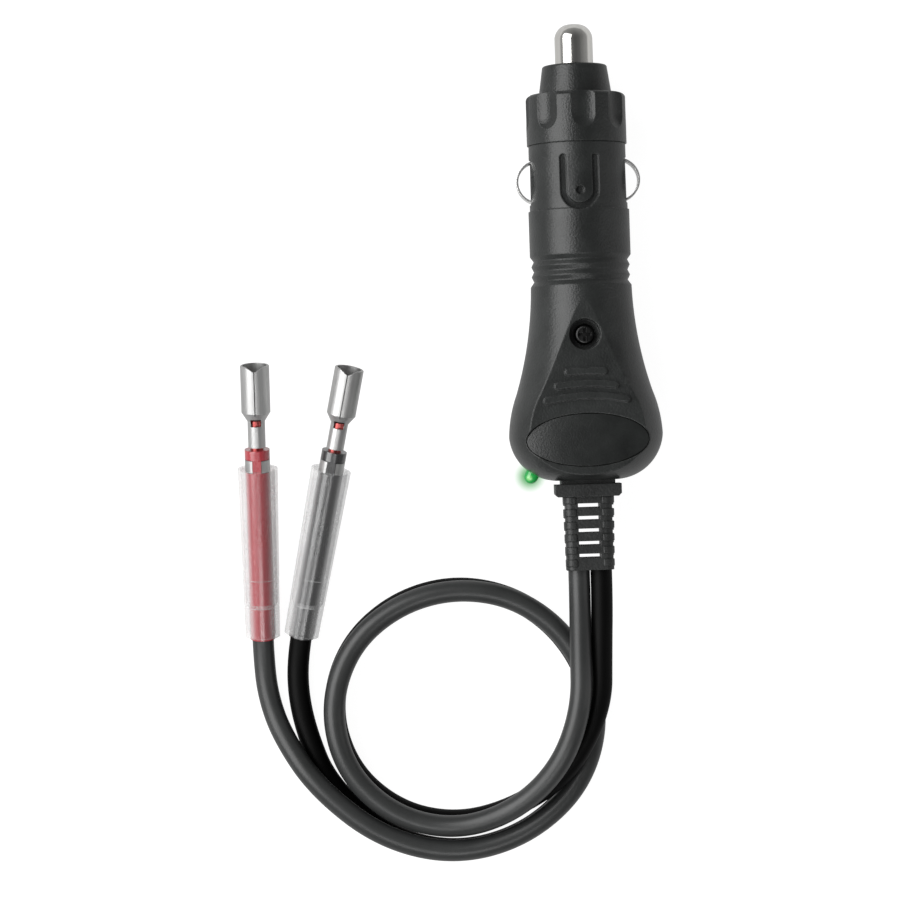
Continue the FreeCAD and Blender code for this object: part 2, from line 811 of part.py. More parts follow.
def fuse_pieces():
    """Glass fuse with its two end caps and its wire."""
    inner = cell("fuse_radius") - cell("fuse_cap_wall")
    glass = inner - cell("fuse_fit")
    end_wall = cell("fuse_cap_wall") * 1.5
    for label, low, outward in (("fuse_rear_cap", ZERO, 1.0),
                                ("fuse_front_cap", cell("fuse_length"), -1.0)):
        body = named_body(label)
        place_on_axis(body, fuse_end_height)
        face = size(low)
        floor = face + end_wall * outward
        rim = face + cell("fuse_cap_length") * outward
        outline(sketch_on(body, label + "_section"), [
            (ZERO, face if low is not ZERO else ZERO),
            (cell("fuse_radius"), face if low is not ZERO else ZERO),
            (cell("fuse_radius"), rim),
            (inner, rim),
            (inner, floor),
            (ZERO, floor),
        ])
        revolve(body, label + "_turned", doc.getObject(label + "_section"))
    body = named_body("fuse_glass")
    place_on_axis(body, fuse_end_height)
    box_outline(sketch_on(body, "glass_section"), glass - cell("fuse_glass_wall"), glass,
                end_wall, cell("fuse_length") - end_wall)
    revolve(body, "glass_turned", doc.getObject("glass_section"))
    wire = doc.addObject("Part::Cylinder", "fuse_wire")
    wire.setExpression("Radius", cell("fuse_wire_radius").formula)
    wire.setExpression("Height", (cell("fuse_length") - end_wall * 2).formula)
    wire.Placement.Rotation = Rotation(Vector(1, 0, 0), -90)
    place_on_axis(wire, fuse_end_height + end_wall)
    keep("fuse_wire", wire)


def contact_spring():
    """Coil spring between the seat and the fuse."""
    wire = cell("spring_wire_radius").value
    coil_radius = cell("fuse_radius").value - wire - cell("fuse_cap_wall").value
    length = fuse_end_height.value - seat_top_height.value - 2.0 * wire
    turns = cell("spring_turns").value
    path = Part.makeHelix(length / turns, length, coil_radius)
    section = Part.Wire(Part.makeCircle(wire, Vector(coil_radius, 0, 0), Vector(0, 1, 0)))
    spring = doc.addObject("Part::Feature", "contact_spring")
    spring.Shape = Part.Wire(path.Edges).makePipeShell([section], True, True)
    spring.Placement = Placement(
        Vector(0, handle_end.value + seat_top_height.value + wire, axis_height.value),
        Rotation(Vector(1, 0, 0), -90))
    return keep("contact_spring", spring)


def spring_seat():
    """Brass seat behind the spring, with a flat tail to the board."""
    body = named_body("spring_seat")
    place_on_axis(body, ZERO)
    disc = sketch_on(body, "seat_section")
    box_outline(disc, ZERO, bore_radius - 0.1, cell("seat_height"), seat_top_height)
    body.Tip = revolve(body, "seat_disc", disc)
    doc.recompute()
    tail = sketch_on(body, "seat_tail_sketch")
    box_outline(tail, cell("seat_tail_offset"),
                cell("seat_tail_offset") + cell("seat_tail_thickness"),
                cell("board_end"), cell("seat_height") + 0.3)
    pad(body, "seat_tail", tail, cell("seat_tail_width"), both_ways=True)
    return body


def side_contact(label, hand):
    """Bowed strip with two feet behind the shell's lips. hand is 1 on the right."""
    body = named_body(label)
    place_on_axis(body, cell("contact_height"))
    bow = cell("contact_bow_radius")
    inner_bow = bow - cell("contact_thickness")
    centre = cell("contact_reach") - bow
    outer_foot = cell("contact_foot_reach")
    inner_foot = outer_foot - cell("contact_thickness")
    inner_reach = cell("contact_reach") - cell("contact_thickness")
    half_foot = cell("contact_foot_half_length")
    outer_half = root(bow * bow - (centre - outer_foot) * (centre - outer_foot))
    inner_half = root(inner_bow * inner_bow - (centre - inner_foot) * (centre - inner_foot))
    outline(sketch_on(body, label + "_section"), [
        (outer_foot * hand, -outer_half, bow * hand),
        (cell("contact_reach") * hand, ZERO, bow * hand),
        (outer_foot * hand, outer_half),
        (outer_foot * hand, half_foot),
        (inner_foot * hand, half_foot),
        (inner_foot * hand, inner_half, -inner_bow * hand),
        (inner_reach * hand, ZERO, -inner_bow * hand),
        (inner_foot * hand, -inner_half),
        (inner_foot * hand, -half_foot),
        (outer_foot * hand, -half_foot),
    ])
    pad(body, label + "_strip", doc.getObject(label + "_section"), cell("contact_width"),
        both_ways=True)
    return body


def root(area):
    """The square root of a size."""
    return Size(math.sqrt(area.value), "sqrt(%s)" % area.formula)


def housing_screw():
    """Pan-head screw with a cross recess, put in from the front."""
    body = named_body("housing_screw")
    seat_floor = cell("half_thickness") - cell("screw_seat_depth")
    place(body, ZERO, handle_end + cell("screw_height"), axis_height + seat_floor)
    head = sketch_on(body, "screw_head_sketch")
    circle(head, ZERO, ZERO, cell("screw_head_radius"))
    top = pad(body, "screw_head", head, cell("screw_head_thickness"))
    body.Tip = top
    doc.recompute()
    rounded = body.newObject("PartDesign::Fillet", "screw_head_round")
    rounded.Base = (top, edges_at(top, "z", cell("screw_head_thickness").value))
    rounded.setExpression("Radius", (cell("screw_head_thickness") * 0.5).formula)
    body.Tip = rounded
    shank = sketch_on(body, "screw_shank_sketch")
    circle(shank, ZERO, ZERO, cell("screw_radius"))
    pad(body, "screw_shank", shank, cell("screw_length"), backwards=True)
    half_length = cell("cross_slot_length") / 2
    half_width = cell("cross_slot_width") / 2
    cross = sketch_on(body, "cross_sketch", lift=cell("screw_head_thickness"))
    outline(cross, [
        (-half_length, -half_width), (-half_width, -half_width), (-half_width, -half_length),
        (half_width, -half_length), (half_width, -half_width), (half_length, -half_width),
        (half_length, half_width), (half_width, half_width), (half_width, half_length),
        (-half_width, half_length), (-half_width, half_width), (-half_length, half_width),
    ])
    pocket(body, "cross_recess", cross, cell("cross_slot_depth"))
    return body


def edges_at(feature, axis, height):
    """Names of the edges of a feature that lie at one height."""
    names = []
    for number, edge in enumerate(feature.Shape.Edges, start=1):
        box = edge.BoundBox
        low, high = {"x": (box.XMin, box.XMax), "y": (box.YMin, box.YMax),
                     "z": (box.ZMin, box.ZMax)}[axis]
        if abs(low - height) < 1e-4 and abs(high - height) < 1e-4:
            names.append("Edge%d" % number)
    return names


def indicator_lamp():
    """Round-nosed lamp with a rim and two legs, held between the shells."""
    body = named_body("indicator_lamp")
    radius = cell("lamp_radius")
    dome = cell("lamp_dome_reach")
    length = cell("lamp_body_length")
    rim_start = length - cell("lamp_rim_thickness")
    outline(sketch_on(body, "lamp_section"), [
        (ZERO, -dome, dome),
        (radius, ZERO),
        (radius, rim_start),
        (cell("lamp_rim_radius"), rim_start),
        (cell("lamp_rim_radius"), length),
        (ZERO, length),
    ])
    body.Tip = revolve(body, "lamp_turned", doc.getObject("lamp_section"))
    legs = sketch_on(body, "lamp_legs_sketch", plane="XZ_Plane", lift=-length + 0.2)
    for side in (1.0, -1.0):
        circle(legs, ZERO, cell("lamp_leg_spacing") * side, cell("lamp_leg_radius"))
    pad(body, "lamp_legs", legs, cell("lamp_leg_length") + 0.2, backwards=True)
    place(body, cell("lamp_x"), handle_end + cell("lamp_height"), axis_height)
    body.Placement.Rotation = Rotation(Vector(0, 0, 1), -cell("lamp_angle").value)
    return body


def circuit_board():
    """Bare board that the cores, the lamp and the spring seat's tail meet."""
    board = doc.addObject("Part::Box", "circuit_board")
    board.setExpression("Length", (cell("board_half_width") * 2).formula)
    board.setExpression("Width", (cell("board_end") - cell("board_start")).formula)
    board.setExpression("Height", (cell("board_half_thickness") * 2).formula)
    place(board, -cell("board_half_width"), handle_end + cell("board_start"),
          axis_height - cell("board_half_thickness"))
    return keep("circuit_board", board)


def resistor():
    """Round resistor lying on the board, with bent legs."""
    body = named_body("resistor")
    between_ribs = (cell("board_rib_first") + cell("board_rib_thickness")
                    + cell("board_rib_second")) / 2
    place(body, cell("board_half_width") / 2, handle_end + between_ribs,
          axis_height + cell("board_half_thickness") + cell("resistor_radius"))
    half = cell("resistor_length") / 2
    box_outline(sketch_on(body, "resistor_section"), ZERO, cell("resistor_radius"), -half, half)
    body.Tip = revolve(body, "resistor_turned", doc.getObject("resistor_section"))
    reach = half + cell("resistor_leg_reach") / 2
    thick = cell("resistor_leg_radius")
    for side in (1.0, -1.0):
        leg = sketch_on(body, "resistor_leg_%d" % int(side), plane="YZ_Plane")
        outline(leg, [
            ((half - 0.2) * side, thick), ((reach + thick) * side, thick),
            ((reach + thick) * side, -cell("resistor_radius")),
            ((reach - thick) * side, -cell("resistor_radius")),
            ((reach - thick) * side, -thick), ((half - 0.2) * side, -thick),
        ])
        pad(body, "resistor_leg_pad_%d" % int(side), leg, thick * 2, both_ways=True)
    return body


def oval_inlay():
    """Bare oval plate, crowned along its length."""
    ellipse = doc.addObject("Part::Ellipse", "inlay_ellipse")
    ellipse.setExpression("MajorRadius", (cell("inlay_length") / 2).formula)
    ellipse.setExpression("MinorRadius", (cell("inlay_width") / 2).formula)
    plate = doc.addObject("Part::Extrusion", "inlay_plate")
    plate.Base = ellipse
    plate.Dir = Vector(0, 0, 1)
    plate.Solid = True
    plate.setExpression("LengthFwd", (cell("inlay_crown") - cell("inlay_floor") + 1.0).formula)
    place(plate, ZERO, handle_end + cell("inlay_height"), axis_height + cell("inlay_floor"))
    crown = doc.addObject("Part::Cylinder", "inlay_crown_roll")
    crown.setExpression("Radius", cell("inlay_crown_radius").formula)
    crown.setExpression("Height", (cell("inlay_width") * 2).formula)
    crown.Placement.Rotation = Rotation(Vector(1, 0, 0), -90)
    place(crown, ZERO, handle_end + cell("inlay_height") - cell("inlay_width"),
          axis_height + cell("inlay_crown") - cell("inlay_crown_radius"))
    inlay = doc.addObject("Part::Common", "oval_inlay")
    inlay.Base = plate
    inlay.Tool = crown
    return keep("oval_inlay", inlay)


def strain_relief():
    """Ladder strain relief with a flange outside the handle and an anchor inside it."""
    body = named_body("strain_relief")
    place_on_axis(body, ZERO)
    flange_top = -cell("relief_neck_length")
    flange_end = flange_top - cell("relief_flange_length")
    end = -relief_length
    top_half = cell("relief_top_width") / 2
    end_half = cell("relief_end_width") / 2
    trunk = sketch_on(body, "relief_trunk_sketch")
    outline(trunk, [
        (-end_half, end), (end_half, end), (top_half, flange_end + 0.3),
        (-top_half, flange_end + 0.3),
    ])
    first = pad(body, "relief_trunk", trunk, cell("relief_depth"), both_ways=True)
    body.Tip = first
    doc.recompute()
    rounded = body.newObject("PartDesign::Fillet", "relief_trunk_round")
    rounded.Base = (first, long_edges(first, cell("relief_body_length").value * 0.9))
    rounded.setExpression("Radius", cell("relief_corner_round").formula)
    body.Tip = rounded
    flange = sketch_on(body, "relief_flange_sketch")
    half = cell("relief_flange_width") / 2
    cut = cell("relief_flange_chamfer")
    outline(flange, [
        (-half, flange_end + cut), (-half + cut, flange_end), (half - cut, flange_end),
        (half, flange_end + cut), (half, flange_top), (-half, flange_top),
    ])
    pad(body, "relief_flange", flange, cell("relief_flange_depth"), both_ways=True)
    neck = sketch_on(body, "relief_neck_sketch")
    half_neck = cell("relief_neck_width") / 2
    box_outline(neck, -half_neck, half_neck, flange_top - 0.1, cell("relief_anchor_start") + 0.1)
    pad(body, "relief_neck", neck, cell("relief_depth"), both_ways=True)
    anchor = sketch_on(body, "relief_anchor_sketch")
    half_anchor = cell("relief_anchor_width") / 2
    box_outline(anchor, -half_anchor, half_anchor, cell("relief_anchor_start"),
                cell("relief_anchor_start") + cell("relief_anchor_thickness"))
    pad(body, "relief_anchor", anchor, cell("relief_flange_depth"), both_ways=True)

    pitch = cell("relief_window_pitch")
    top = flange_end - cell("relief_window_first")
    window = sketch_on(body, "relief_window_sketch")
    half_window = cell("relief_window_width") / 2
    box_outline(window, -half_window, half_window, top - cell("relief_window_height"), top)
    ladder(body, "relief_window", window)
    notch = sketch_on(body, "relief_notch_sketch")
    notch_top = top - cell("relief_window_height") / 2
    for side in (1.0, -1.0):
        depth_face = (top_half - cell("relief_notch_depth")) * side
        box_outline(notch, *sorted_pair(depth_face, top_half * 1.5 * side),
                    notch_top - cell("relief_notch_height"), notch_top)
    ladder(body, "relief_notch", notch)

    cores = sketch_on(body, "relief_core_sketch", plane="XZ_Plane", lift=relief_length + 0.1)
    for side in (1.0, -1.0):
        circle(cores, cell("core_offset") * side, ZERO, cell("core_radius") + cell("core_fit"))
    pocket(body, "relief_core_holes", cores,
           relief_length + cell("relief_anchor_start") + cell("relief_anchor_thickness") + 0.3)
    return body


def sorted_pair(first, second):
    """The two sizes, the lower one first."""
    return (first, second) if first.value < second.value else (second, first)


def long_edges(feature, at_least):
    """Names of the edges of a feature that are at least that long."""
    return ["Edge%d" % number for number, edge in enumerate(feature.Shape.Edges, start=1)
            if edge.Length > at_least]


def ladder(body, name, sketch):
    """Cuts a sketch right through the relief and repeats it down its length."""
    first = pocket(body, name, sketch, cell("relief_flange_depth") * 2, both_ways=True)
    pattern = body.newObject("PartDesign::LinearPattern", name + "s")
    pattern.Originals = [first]
    pattern.Direction = (origin_feature(body, "Y_Axis"), [""])
    pattern.Reversed = True
    pattern.setExpression("Length",
                          (cell("relief_window_pitch") * (RELIEF_WINDOWS - 1)).formula)
    pattern.Occurrences = RELIEF_WINDOWS
    body.Tip = pattern


def lead_core(label, hand):
    """Inner core from the lead's jacket, through the strain relief, to the board."""
    core = doc.addObject("Part::Cylinder", label)
    core.setExpression("Radius", cell("core_radius").formula)
    core.setExpression("Height", (relief_length + cell("board_start")).formula)
    core.Placement.Rotation = Rotation(Vector(1, 0, 0), -90)
    place(core, cell("core_offset") * hand, handle_end - relief_length, axis_height)
    return keep(label, core)


def rounded_path(points):
    """Straight runs with tangent arcs, each as large as its two runs allow."""
    share = 0.45
    edges = []
    radii = []
    here = points[0]
    for before, corner, after in zip(points, points[1:], points[2:]):
        into = (corner - before).normalize()
        out = (after - corner).normalize()
        reach = share * min((corner - before).Length, (after - corner).Length)
        turn = into.getAngle(out)
        radius = reach / math.tan(turn / 2.0)
        start = corner - into * reach
        end = corner + out * reach
        towards = (out - into).normalize()
        middle = corner + towards * (math.hypot(radius, reach) - radius)
        edges.append(Part.LineSegment(here, start).toShape())
        edges.append(Part.Arc(start, middle, end).toShape())
        radii.append(radius)
        here = end
    edges.append(Part.LineSegment(here, points[-1]).toShape())
    return Part.Wire(edges), radii


def round_lead(label, points):
    """A lead's tube along its route, with its volume compared with section times length."""
    radius = cell("lead_diameter").value / 2.0
    path, radii = rounded_path(points)
    start = points[0]
    section = Part.Wire(Part.makeCircle(radius, start, (points[1] - start).normalize()))
    lead = doc.addObject("Part::Feature", label)
    lead.Shape = path.makePipeShell([section], True, False)
    expected = math.pi * radius * radius * path.Length
    print("%s: length %.1f, tightest radius %.1f, volume %.4f of section times length"
          % (label, path.Length, min(radii), lead.Shape.Volume / expected))
    return keep(label, lead)


def terminal_placement(spot):
    """Where a terminal's own frame lies: +Y along its axis to the mouth."""
    x, y, turn = spot
    tilt = cell("terminal_tilt").value
    rest_height = cell("sleeve_end_radius").value * math.cos(math.radians(tilt))
    return Placement(Vector(x, y, rest_height), Rotation(-turn, 0, tilt))


def lead_route(hand, route, spot):
    """A lead's points: out of the strain relief, along its route and up its marker tube."""
    exit_point = Vector(cell("lead_offset").value * hand, handle_end.value - relief_length.value,
                        axis_height.value)
    laid = terminal_placement(spot)
    clear_point = exit_point - Vector(0, cell("lead_exit_run").value, 0)
    last = LEAD_END_STATIONS + [(cell("jacket_end").value, 0.0)]
    tube_points = [laid.multVec(Vector(0, station, lift)) for station, lift in last]
    return [exit_point, clear_point] + [Vector(*point) for point in route] + tube_points


def bullet_terminal(label, spot):
    """Folded-sheet terminal: slit barrel, open shoulder, crimped neck, strip and wings."""
    body = named_body(label)
    outer = cell("terminal_bore_radius") + cell("terminal_wall")
    neck = cell("terminal_neck_radius")
    neck_bore = neck - cell("terminal_neck_wall")
    mouth = cell("terminal_mouth")
    shoulder = cell("terminal_shoulder_top")
    edge = cell("terminal_wall") / 4
    outline(sketch_on(body, label + "_section"), [
        (neck, cell("terminal_neck_end")),
        (neck, cell("terminal_shoulder_end")),
        (outer, shoulder),
        (outer, mouth - edge),
        (outer - edge, mouth),
        (cell("terminal_bore_radius"), mouth),
        (cell("terminal_bore_radius"), shoulder + 0.2),
        (neck_bore, cell("terminal_shoulder_end") + 0.2),
        (neck_bore, cell("terminal_neck_end")),
    ])
    body.Tip = revolve(body, label + "_rolled", doc.getObject(label + "_section"))
    doc.recompute()
    wing_inner = cell("marker_waist_radius") + cell("wing_fit")
    wing_outer = wing_inner + cell("wing_wall")
    sunk = cell("join")
    strip = sketch_on(body, label + "_strip_sketch", plane="YZ_Plane")
    wing_end = cell("wing_start") + cell("wing_length")
    strip_turn = cell("marker_end") + cell("wing_fit")
    neck_join = cell("terminal_neck_end") + cell("terminal_wall")
    outline(strip, [
        (wing_end - sunk, -wing_outer), (strip_turn, -wing_outer), (neck_join, -neck),
        (neck_join, -neck_bore - cell("wing_fit")), (strip_turn, -wing_inner),
        (wing_end - sunk, -wing_inner),
    ])
    pad(body, label + "_strip", strip, cell("strip_width"), both_ways=True)
    wings = sketch_on(body, label + "_wing_section")
    box_outline(wings, wing_inner, wing_outer, cell("wing_start"), wing_end)
    revolve(body, label + "_wings", wings)
    gap = sketch_on(body, label + "_wing_gap_sketch")
    half_gap = cell("wing_gap") / 2
    past = cell("overcut")
    box_outline(gap, -half_gap, half_gap, cell("wing_start") - past, wing_end + past)
    pocket(body, label + "_wing_gap", gap, wing_outer * 2, outwards=True)
    half_slit = cell("terminal_slit_width") / 2
    half_notch = cell("terminal_notch_width") / 2
    notch_floor = mouth - cell("terminal_notch_depth")
    slit = sketch_on(body, label + "_slit_sketch")
    outline(slit, [
        (half_slit, shoulder - past), (half_slit, notch_floor), (half_notch, mouth + past),
        (-half_notch, mouth + past), (-half_slit, notch_floor), (-half_slit, shoulder - past),
    ])
    pocket(body, label + "_slit", slit, outer * 2, outwards=True)
    window = sketch_on(body, label + "_window_sketch")
    window_top = cell("terminal_shoulder_end") + 0.6
    box_outline(window, -neck_bore * 0.8, neck_bore * 0.8,
                window_top - cell("terminal_window_length"), window_top)
    pocket(body, label + "_window", window, outer * 2, outwards=True)
    body.Placement = terminal_placement(spot)
    return body


def strands(label, spot):
    """The bundle of copper strands between the jacket and the shoulder."""
    bundle = doc.addObject("Part::Cylinder", label)
    bundle.setExpression("Radius", cell("strand_radius").formula)
    bundle.setExpression("Height", (cell("strand_end") - cell("jacket_end")).formula)
    laid = terminal_placement(spot)
    bundle.Placement = laid.multiply(Placement(Vector(0, cell("jacket_end").value, 0),
                                               Rotation(Vector(1, 0, 0), -90)))
    return keep(label, bundle)


def marker_tube(label, spot):
    """Coloured tube over the end of a lead's jacket."""
    body = named_body(label)
    bore = cell("lead_diameter") / 2 + cell("marker_fit")
    outer = cell("marker_radius")
    waist = cell("marker_waist_radius")
    end_bore = cell("strand_radius") + cell("strand_fit")
    low = cell("wing_start") - cell("marker_waist_fit")
    high = cell("wing_start") + cell("wing_length") + cell("marker_waist_fit")
    outline(sketch_on(body, label + "_section"), [
        (bore, cell("marker_start")), (outer, cell("marker_start")), (outer, low), (waist, low),
        (waist, high), (outer, high), (outer, cell("marker_end")),
        (end_bore, cell("marker_end")), (end_bore, cell("marker_end_bore_start")),
        (bore, cell("marker_end_bore_start")),
    ])
    body.Tip = revolve(body, label + "_tube", doc.getObject(label + "_section"))
    doc.recompute()
    rib = sketch_on(body, label + "_rib_sketch", lift=waist - cell("join"))
    half_rib = cell("wing_gap") / 2 - cell("wing_fit")
    box_outline(rib, -half_rib, half_rib, low, high)
    pad(body, label + "_rib", rib, outer - waist + cell("join"))
    slot = sketch_on(body, label + "_slot_sketch", lift=-waist)
    half_slot = cell("strip_width") / 2 + cell("wing_fit")
    box_outline(slot, -half_slot, half_slot, high - cell("join"),
                cell("marker_end") + cell("overcut"))
    pocket(body, label + "_slot", slot, outer)
    body.Placement = terminal_placement(spot)
    return body


def clear_sleeve(label, spot):
    """Tapered sleeve that grips the marker tube with its lower end."""
    body = named_body(label)
    grip = cell("sleeve_grip_length")
    slope = (cell("sleeve_top_radius") - cell("sleeve_end_radius")) / cell("sleeve_length")
    half_ring = cell("sleeve_ring_width") / 2
    rings = []
    for height in (cell("sleeve_first_ring"), cell("sleeve_second_ring")):
        wall = cell("sleeve_end_radius") + slope * height
        rings += [
            (wall - slope * half_ring, height - half_ring),
            (wall - cell("sleeve_ring_depth"), height),
            (wall + slope * half_ring, height + half_ring),
        ]
    outline(sketch_on(body, label + "_section"), [
        (cell("sleeve_grip_bore"), ZERO),
        (cell("sleeve_end_radius"), ZERO),
        *rings,
        (cell("sleeve_top_radius"), cell("sleeve_length")),
        (cell("sleeve_top_bore"), cell("sleeve_length")),
        (cell("sleeve_mid_bore"), grip + 1.0),
        (cell("sleeve_grip_bore"), grip),
    ])
    revolve(body, label + "_tube", doc.getObject(label + "_section"))
    body.Placement = terminal_placement(spot)
    return body


def cut_lamp_seat(body):
    """Takes the lamp's seat out of a shell and keeps the result as that sub-part."""
    seat = doc.addObject("Part::Feature", body.Name + "_lamp_seat")
    seat.Shape = lamp_seat_shape()
    place(seat, ZERO, handle_end, axis_height)
    shell = doc.addObject("Part::Cut", body.Name + "_cut")
    shell.Base = body
    shell.Tool = seat
    label = body.Label
    body.Label = label + "_moulding"
    sub_parts.remove(body)
    return keep(label, shell)


front_shell = housing_shell("front_shell", True)
finish_front_shell(front_shell)
rear_shell = housing_shell("rear_shell", False)
finish_rear_shell(rear_shell)
doc.recompute()
cut_lamp_seat(front_shell)
cut_lamp_seat(rear_shell)
nose_cap()
contact_tip()
fuse_pieces()
contact_spring()
spring_seat()
side_contact("right_contact", 1.0)
side_contact("left_contact", -1.0)
housing_screw()
indicator_lamp()
circuit_board()
resistor()
oval_inlay()
strain_relief()
lead_core("positive_core", -1.0)
lead_core("negative_core", 1.0)
round_lead("positive_lead", lead_route(-1.0, POSITIVE_ROUTE, POSITIVE_PLACE))
round_lead("negative_lead", lead_route(1.0, NEGATIVE_ROUTE, NEGATIVE_PLACE))
for pole, colour, spot in (("positive", "red", POSITIVE_PLACE),
                           ("negative", "black", NEGATIVE_PLACE)):
    bullet_terminal(pole + "_terminal", spot)
    strands(pole + "_strands", spot)
    marker_tube(colour + "_marker_tube", spot)
    clear_sleeve(pole + "_sleeve", spot)

doc.recompute()
for item in doc.Objects:
    if "Invalid" in item.State or "Error" in item.State:
        raise RuntimeError("%s is not valid: %s" % (item.Name, item.State))
for item in sub_parts:
    if item.Shape.isNull() or not item.Shape.isValid():
        raise RuntimeError("the shape of %s is not valid" % item.Label)
    if len(item.Shape.Solids) != 1:
        raise RuntimeError("%s has %d solids" % (item.Label, len(item.Shape.Solids)))

os.makedirs("parts", exist_ok=True)
for item in sub_parts:
    item.Shape.exportStep("parts/%s.step" % item.Label)
print("%d sub-parts" % len(sub_parts))
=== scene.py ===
"""A car accessory plug lying on its back, with its looped leads and two bullet terminals."""
import json
import math

import bmesh
import bpy
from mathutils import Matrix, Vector


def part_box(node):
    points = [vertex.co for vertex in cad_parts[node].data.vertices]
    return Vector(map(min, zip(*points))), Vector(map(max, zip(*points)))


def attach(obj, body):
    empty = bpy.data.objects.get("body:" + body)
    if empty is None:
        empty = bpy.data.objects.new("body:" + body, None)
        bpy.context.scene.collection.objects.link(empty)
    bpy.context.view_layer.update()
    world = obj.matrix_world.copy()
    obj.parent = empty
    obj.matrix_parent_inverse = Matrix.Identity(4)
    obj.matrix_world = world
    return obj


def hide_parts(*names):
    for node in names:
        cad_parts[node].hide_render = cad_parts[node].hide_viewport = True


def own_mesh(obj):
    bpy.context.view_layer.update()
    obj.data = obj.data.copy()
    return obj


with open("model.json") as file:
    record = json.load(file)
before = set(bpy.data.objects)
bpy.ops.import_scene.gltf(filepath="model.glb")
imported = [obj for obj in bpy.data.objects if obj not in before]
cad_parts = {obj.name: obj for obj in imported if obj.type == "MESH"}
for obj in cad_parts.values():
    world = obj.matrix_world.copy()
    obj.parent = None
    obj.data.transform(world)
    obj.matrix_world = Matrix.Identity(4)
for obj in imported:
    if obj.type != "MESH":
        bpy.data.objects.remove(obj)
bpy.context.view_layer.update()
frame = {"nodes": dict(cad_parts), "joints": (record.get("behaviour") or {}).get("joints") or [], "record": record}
NODES = frame["nodes"]
RECORD = frame["record"]

# Real sizes, in metres
LEAD_DIAMETER = 0.0045
AXIS_HEIGHT = 0.0106
# The last of a lead lies in its marker tube. Places along it are measured from the sleeve's
# lower end, as the socket's middle is
SOCKET_STATION = 0.053
LEAD_END_STATIONS = (-0.004, 0.0095, 0.024, 0.0348)

# The leads' routes, from the strain relief to where each one rises into its marker tube
POSITIVE_ROUTE = [
    (-0.0023, -0.05655, 0.0106), (-0.0023, -0.06305, 0.0106), (-0.0026, -0.0729, 0.0134),
    (-0.0028, -0.0848, 0.0162), (-0.0075, -0.0970, 0.0150), (-0.0169, -0.1060, 0.0109),
    (-0.0293, -0.1101, 0.0076), (-0.0423, -0.1069, 0.0070), (-0.0521, -0.0973, 0.0070),
    (-0.0550, -0.0838, 0.0070), (-0.0505, -0.0710, 0.0070), (-0.0403, -0.0627, 0.0070),
    (-0.0277, -0.0596, 0.0070), (-0.0146, -0.0623, 0.0070), (-0.0040, -0.0715, 0.0070),
    (0.0013, -0.0856, 0.0070), (-0.0025, -0.1008, 0.0070), (-0.0142, -0.1114, 0.0070),
    (-0.0295, -0.1154, 0.0070), (-0.0451, -0.1113, 0.0071), (-0.0581, -0.1005, 0.0071),
    (-0.0652, -0.0896, 0.0044), (-0.0681, -0.0812, 0.0023),
]
NEGATIVE_ROUTE = [
    (0.0023, -0.05655, 0.0106), (0.0023, -0.06305, 0.0106), (0.0018, -0.0732, 0.0118),
    (0.0014, -0.0852, 0.0127), (-0.0057, -0.0985, 0.0106), (-0.0170, -0.1061, 0.0056),
    (-0.0293, -0.1093, 0.0025), (-0.0417, -0.1063, 0.0023), (-0.0515, -0.0973, 0.0023),
    (-0.0551, -0.0842, 0.0023), (-0.0509, -0.0711, 0.0023), (-0.0407, -0.0623, 0.0023),
    (-0.0277, -0.0591, 0.0023), (-0.0145, -0.0625, 0.0023), (-0.0041, -0.0719, 0.0023),
    (0.0013, -0.0860, 0.0023), (-0.0026, -0.1011, 0.0023), (-0.0142, -0.1117, 0.0023),
    (-0.0295, -0.1156, 0.0023), (-0.0448, -0.1113, 0.0023), (-0.0562, -0.0999, 0.0023),
    (-0.0601, -0.0895, 0.0023), (-0.0618, -0.0806, 0.0023),
]

# The middle of the lamp's dome
LAMP_PLACE = (-0.0121, -0.0374, 0.0106)
# The lit chip near the dome's top, and how far from it the lamp has turned deep green
LAMP_CHIP = (-0.0121, -0.0372, AXIS_HEIGHT + 0.0014)
LAMP_FADE = 0.0024
# Where the lamp's green light falls on the floor
LAMP_SPOT = (-0.0116, -0.0370, 0.0)

# The strain relief, as the CAD model has it, and the rungs that stand on it
RELIEF_BODY_LENGTH = 0.0152
RELIEF_DEPTH = 0.0085
RELIEF_TOP_HALF = 0.0052
RELIEF_END_HALF = 0.0049
RELIEF_CORNER = 0.0016
RELIEF_PITCH = 0.0026
RELIEF_FIRST_RUNG = 0.0007
RUNG_COUNT = 6
RUNG_WIDTH = 0.0015
RUNG_HEIGHT = 0.0004

FLOOR_HALF = 2.0

# The photograph's view
CAMERA_PLACE = (-0.02827, -0.03086)
CAMERA_HEIGHT = 0.6866
CAMERA_ROLL = -1.81
FOCAL_LENGTH = 130.33
SENSOR_WIDTH = 36.0


def new_group(name, inputs, outputs):
    """An empty shader group with its own sockets, and its two end nodes."""
    group = bpy.data.node_groups.new(name, "ShaderNodeTree")
    for label, kind, value in inputs:
        socket = group.interface.new_socket(label, in_out="INPUT", socket_type=kind)
        if value is not None:
            socket.default_value = value
    for label, kind in outputs:
        group.interface.new_socket(label, in_out="OUTPUT", socket_type=kind)
    return group, group.nodes.new("NodeGroupInput"), group.nodes.new("NodeGroupOutput")


def add_node(tree, kind, **settings):
    """A node with its settings. A setting that names an input sets that input's value."""
    node = tree.nodes.new("ShaderNode" + kind)
    for key, value in settings.items():
        if hasattr(node, key):
            setattr(node, key, value)
        else:
            node.inputs[key.replace("_", " ")].default_value = value
    return node


def math_node(tree, operation, first, second=None, third=None, clamp=False):
    """A maths node whose inputs are sockets or numbers. Returns its output."""
    node = tree.nodes.new("ShaderNodeMath")
    node.operation = operation
    node.use_clamp = clamp
    for index, value in enumerate((first, second, third)):
        if value is None:
            continue
        if isinstance(value, (int, float)):
            node.inputs[index].default_value = value
        else:
            tree.links.new(value, node.inputs[index])
    return node.outputs[0]


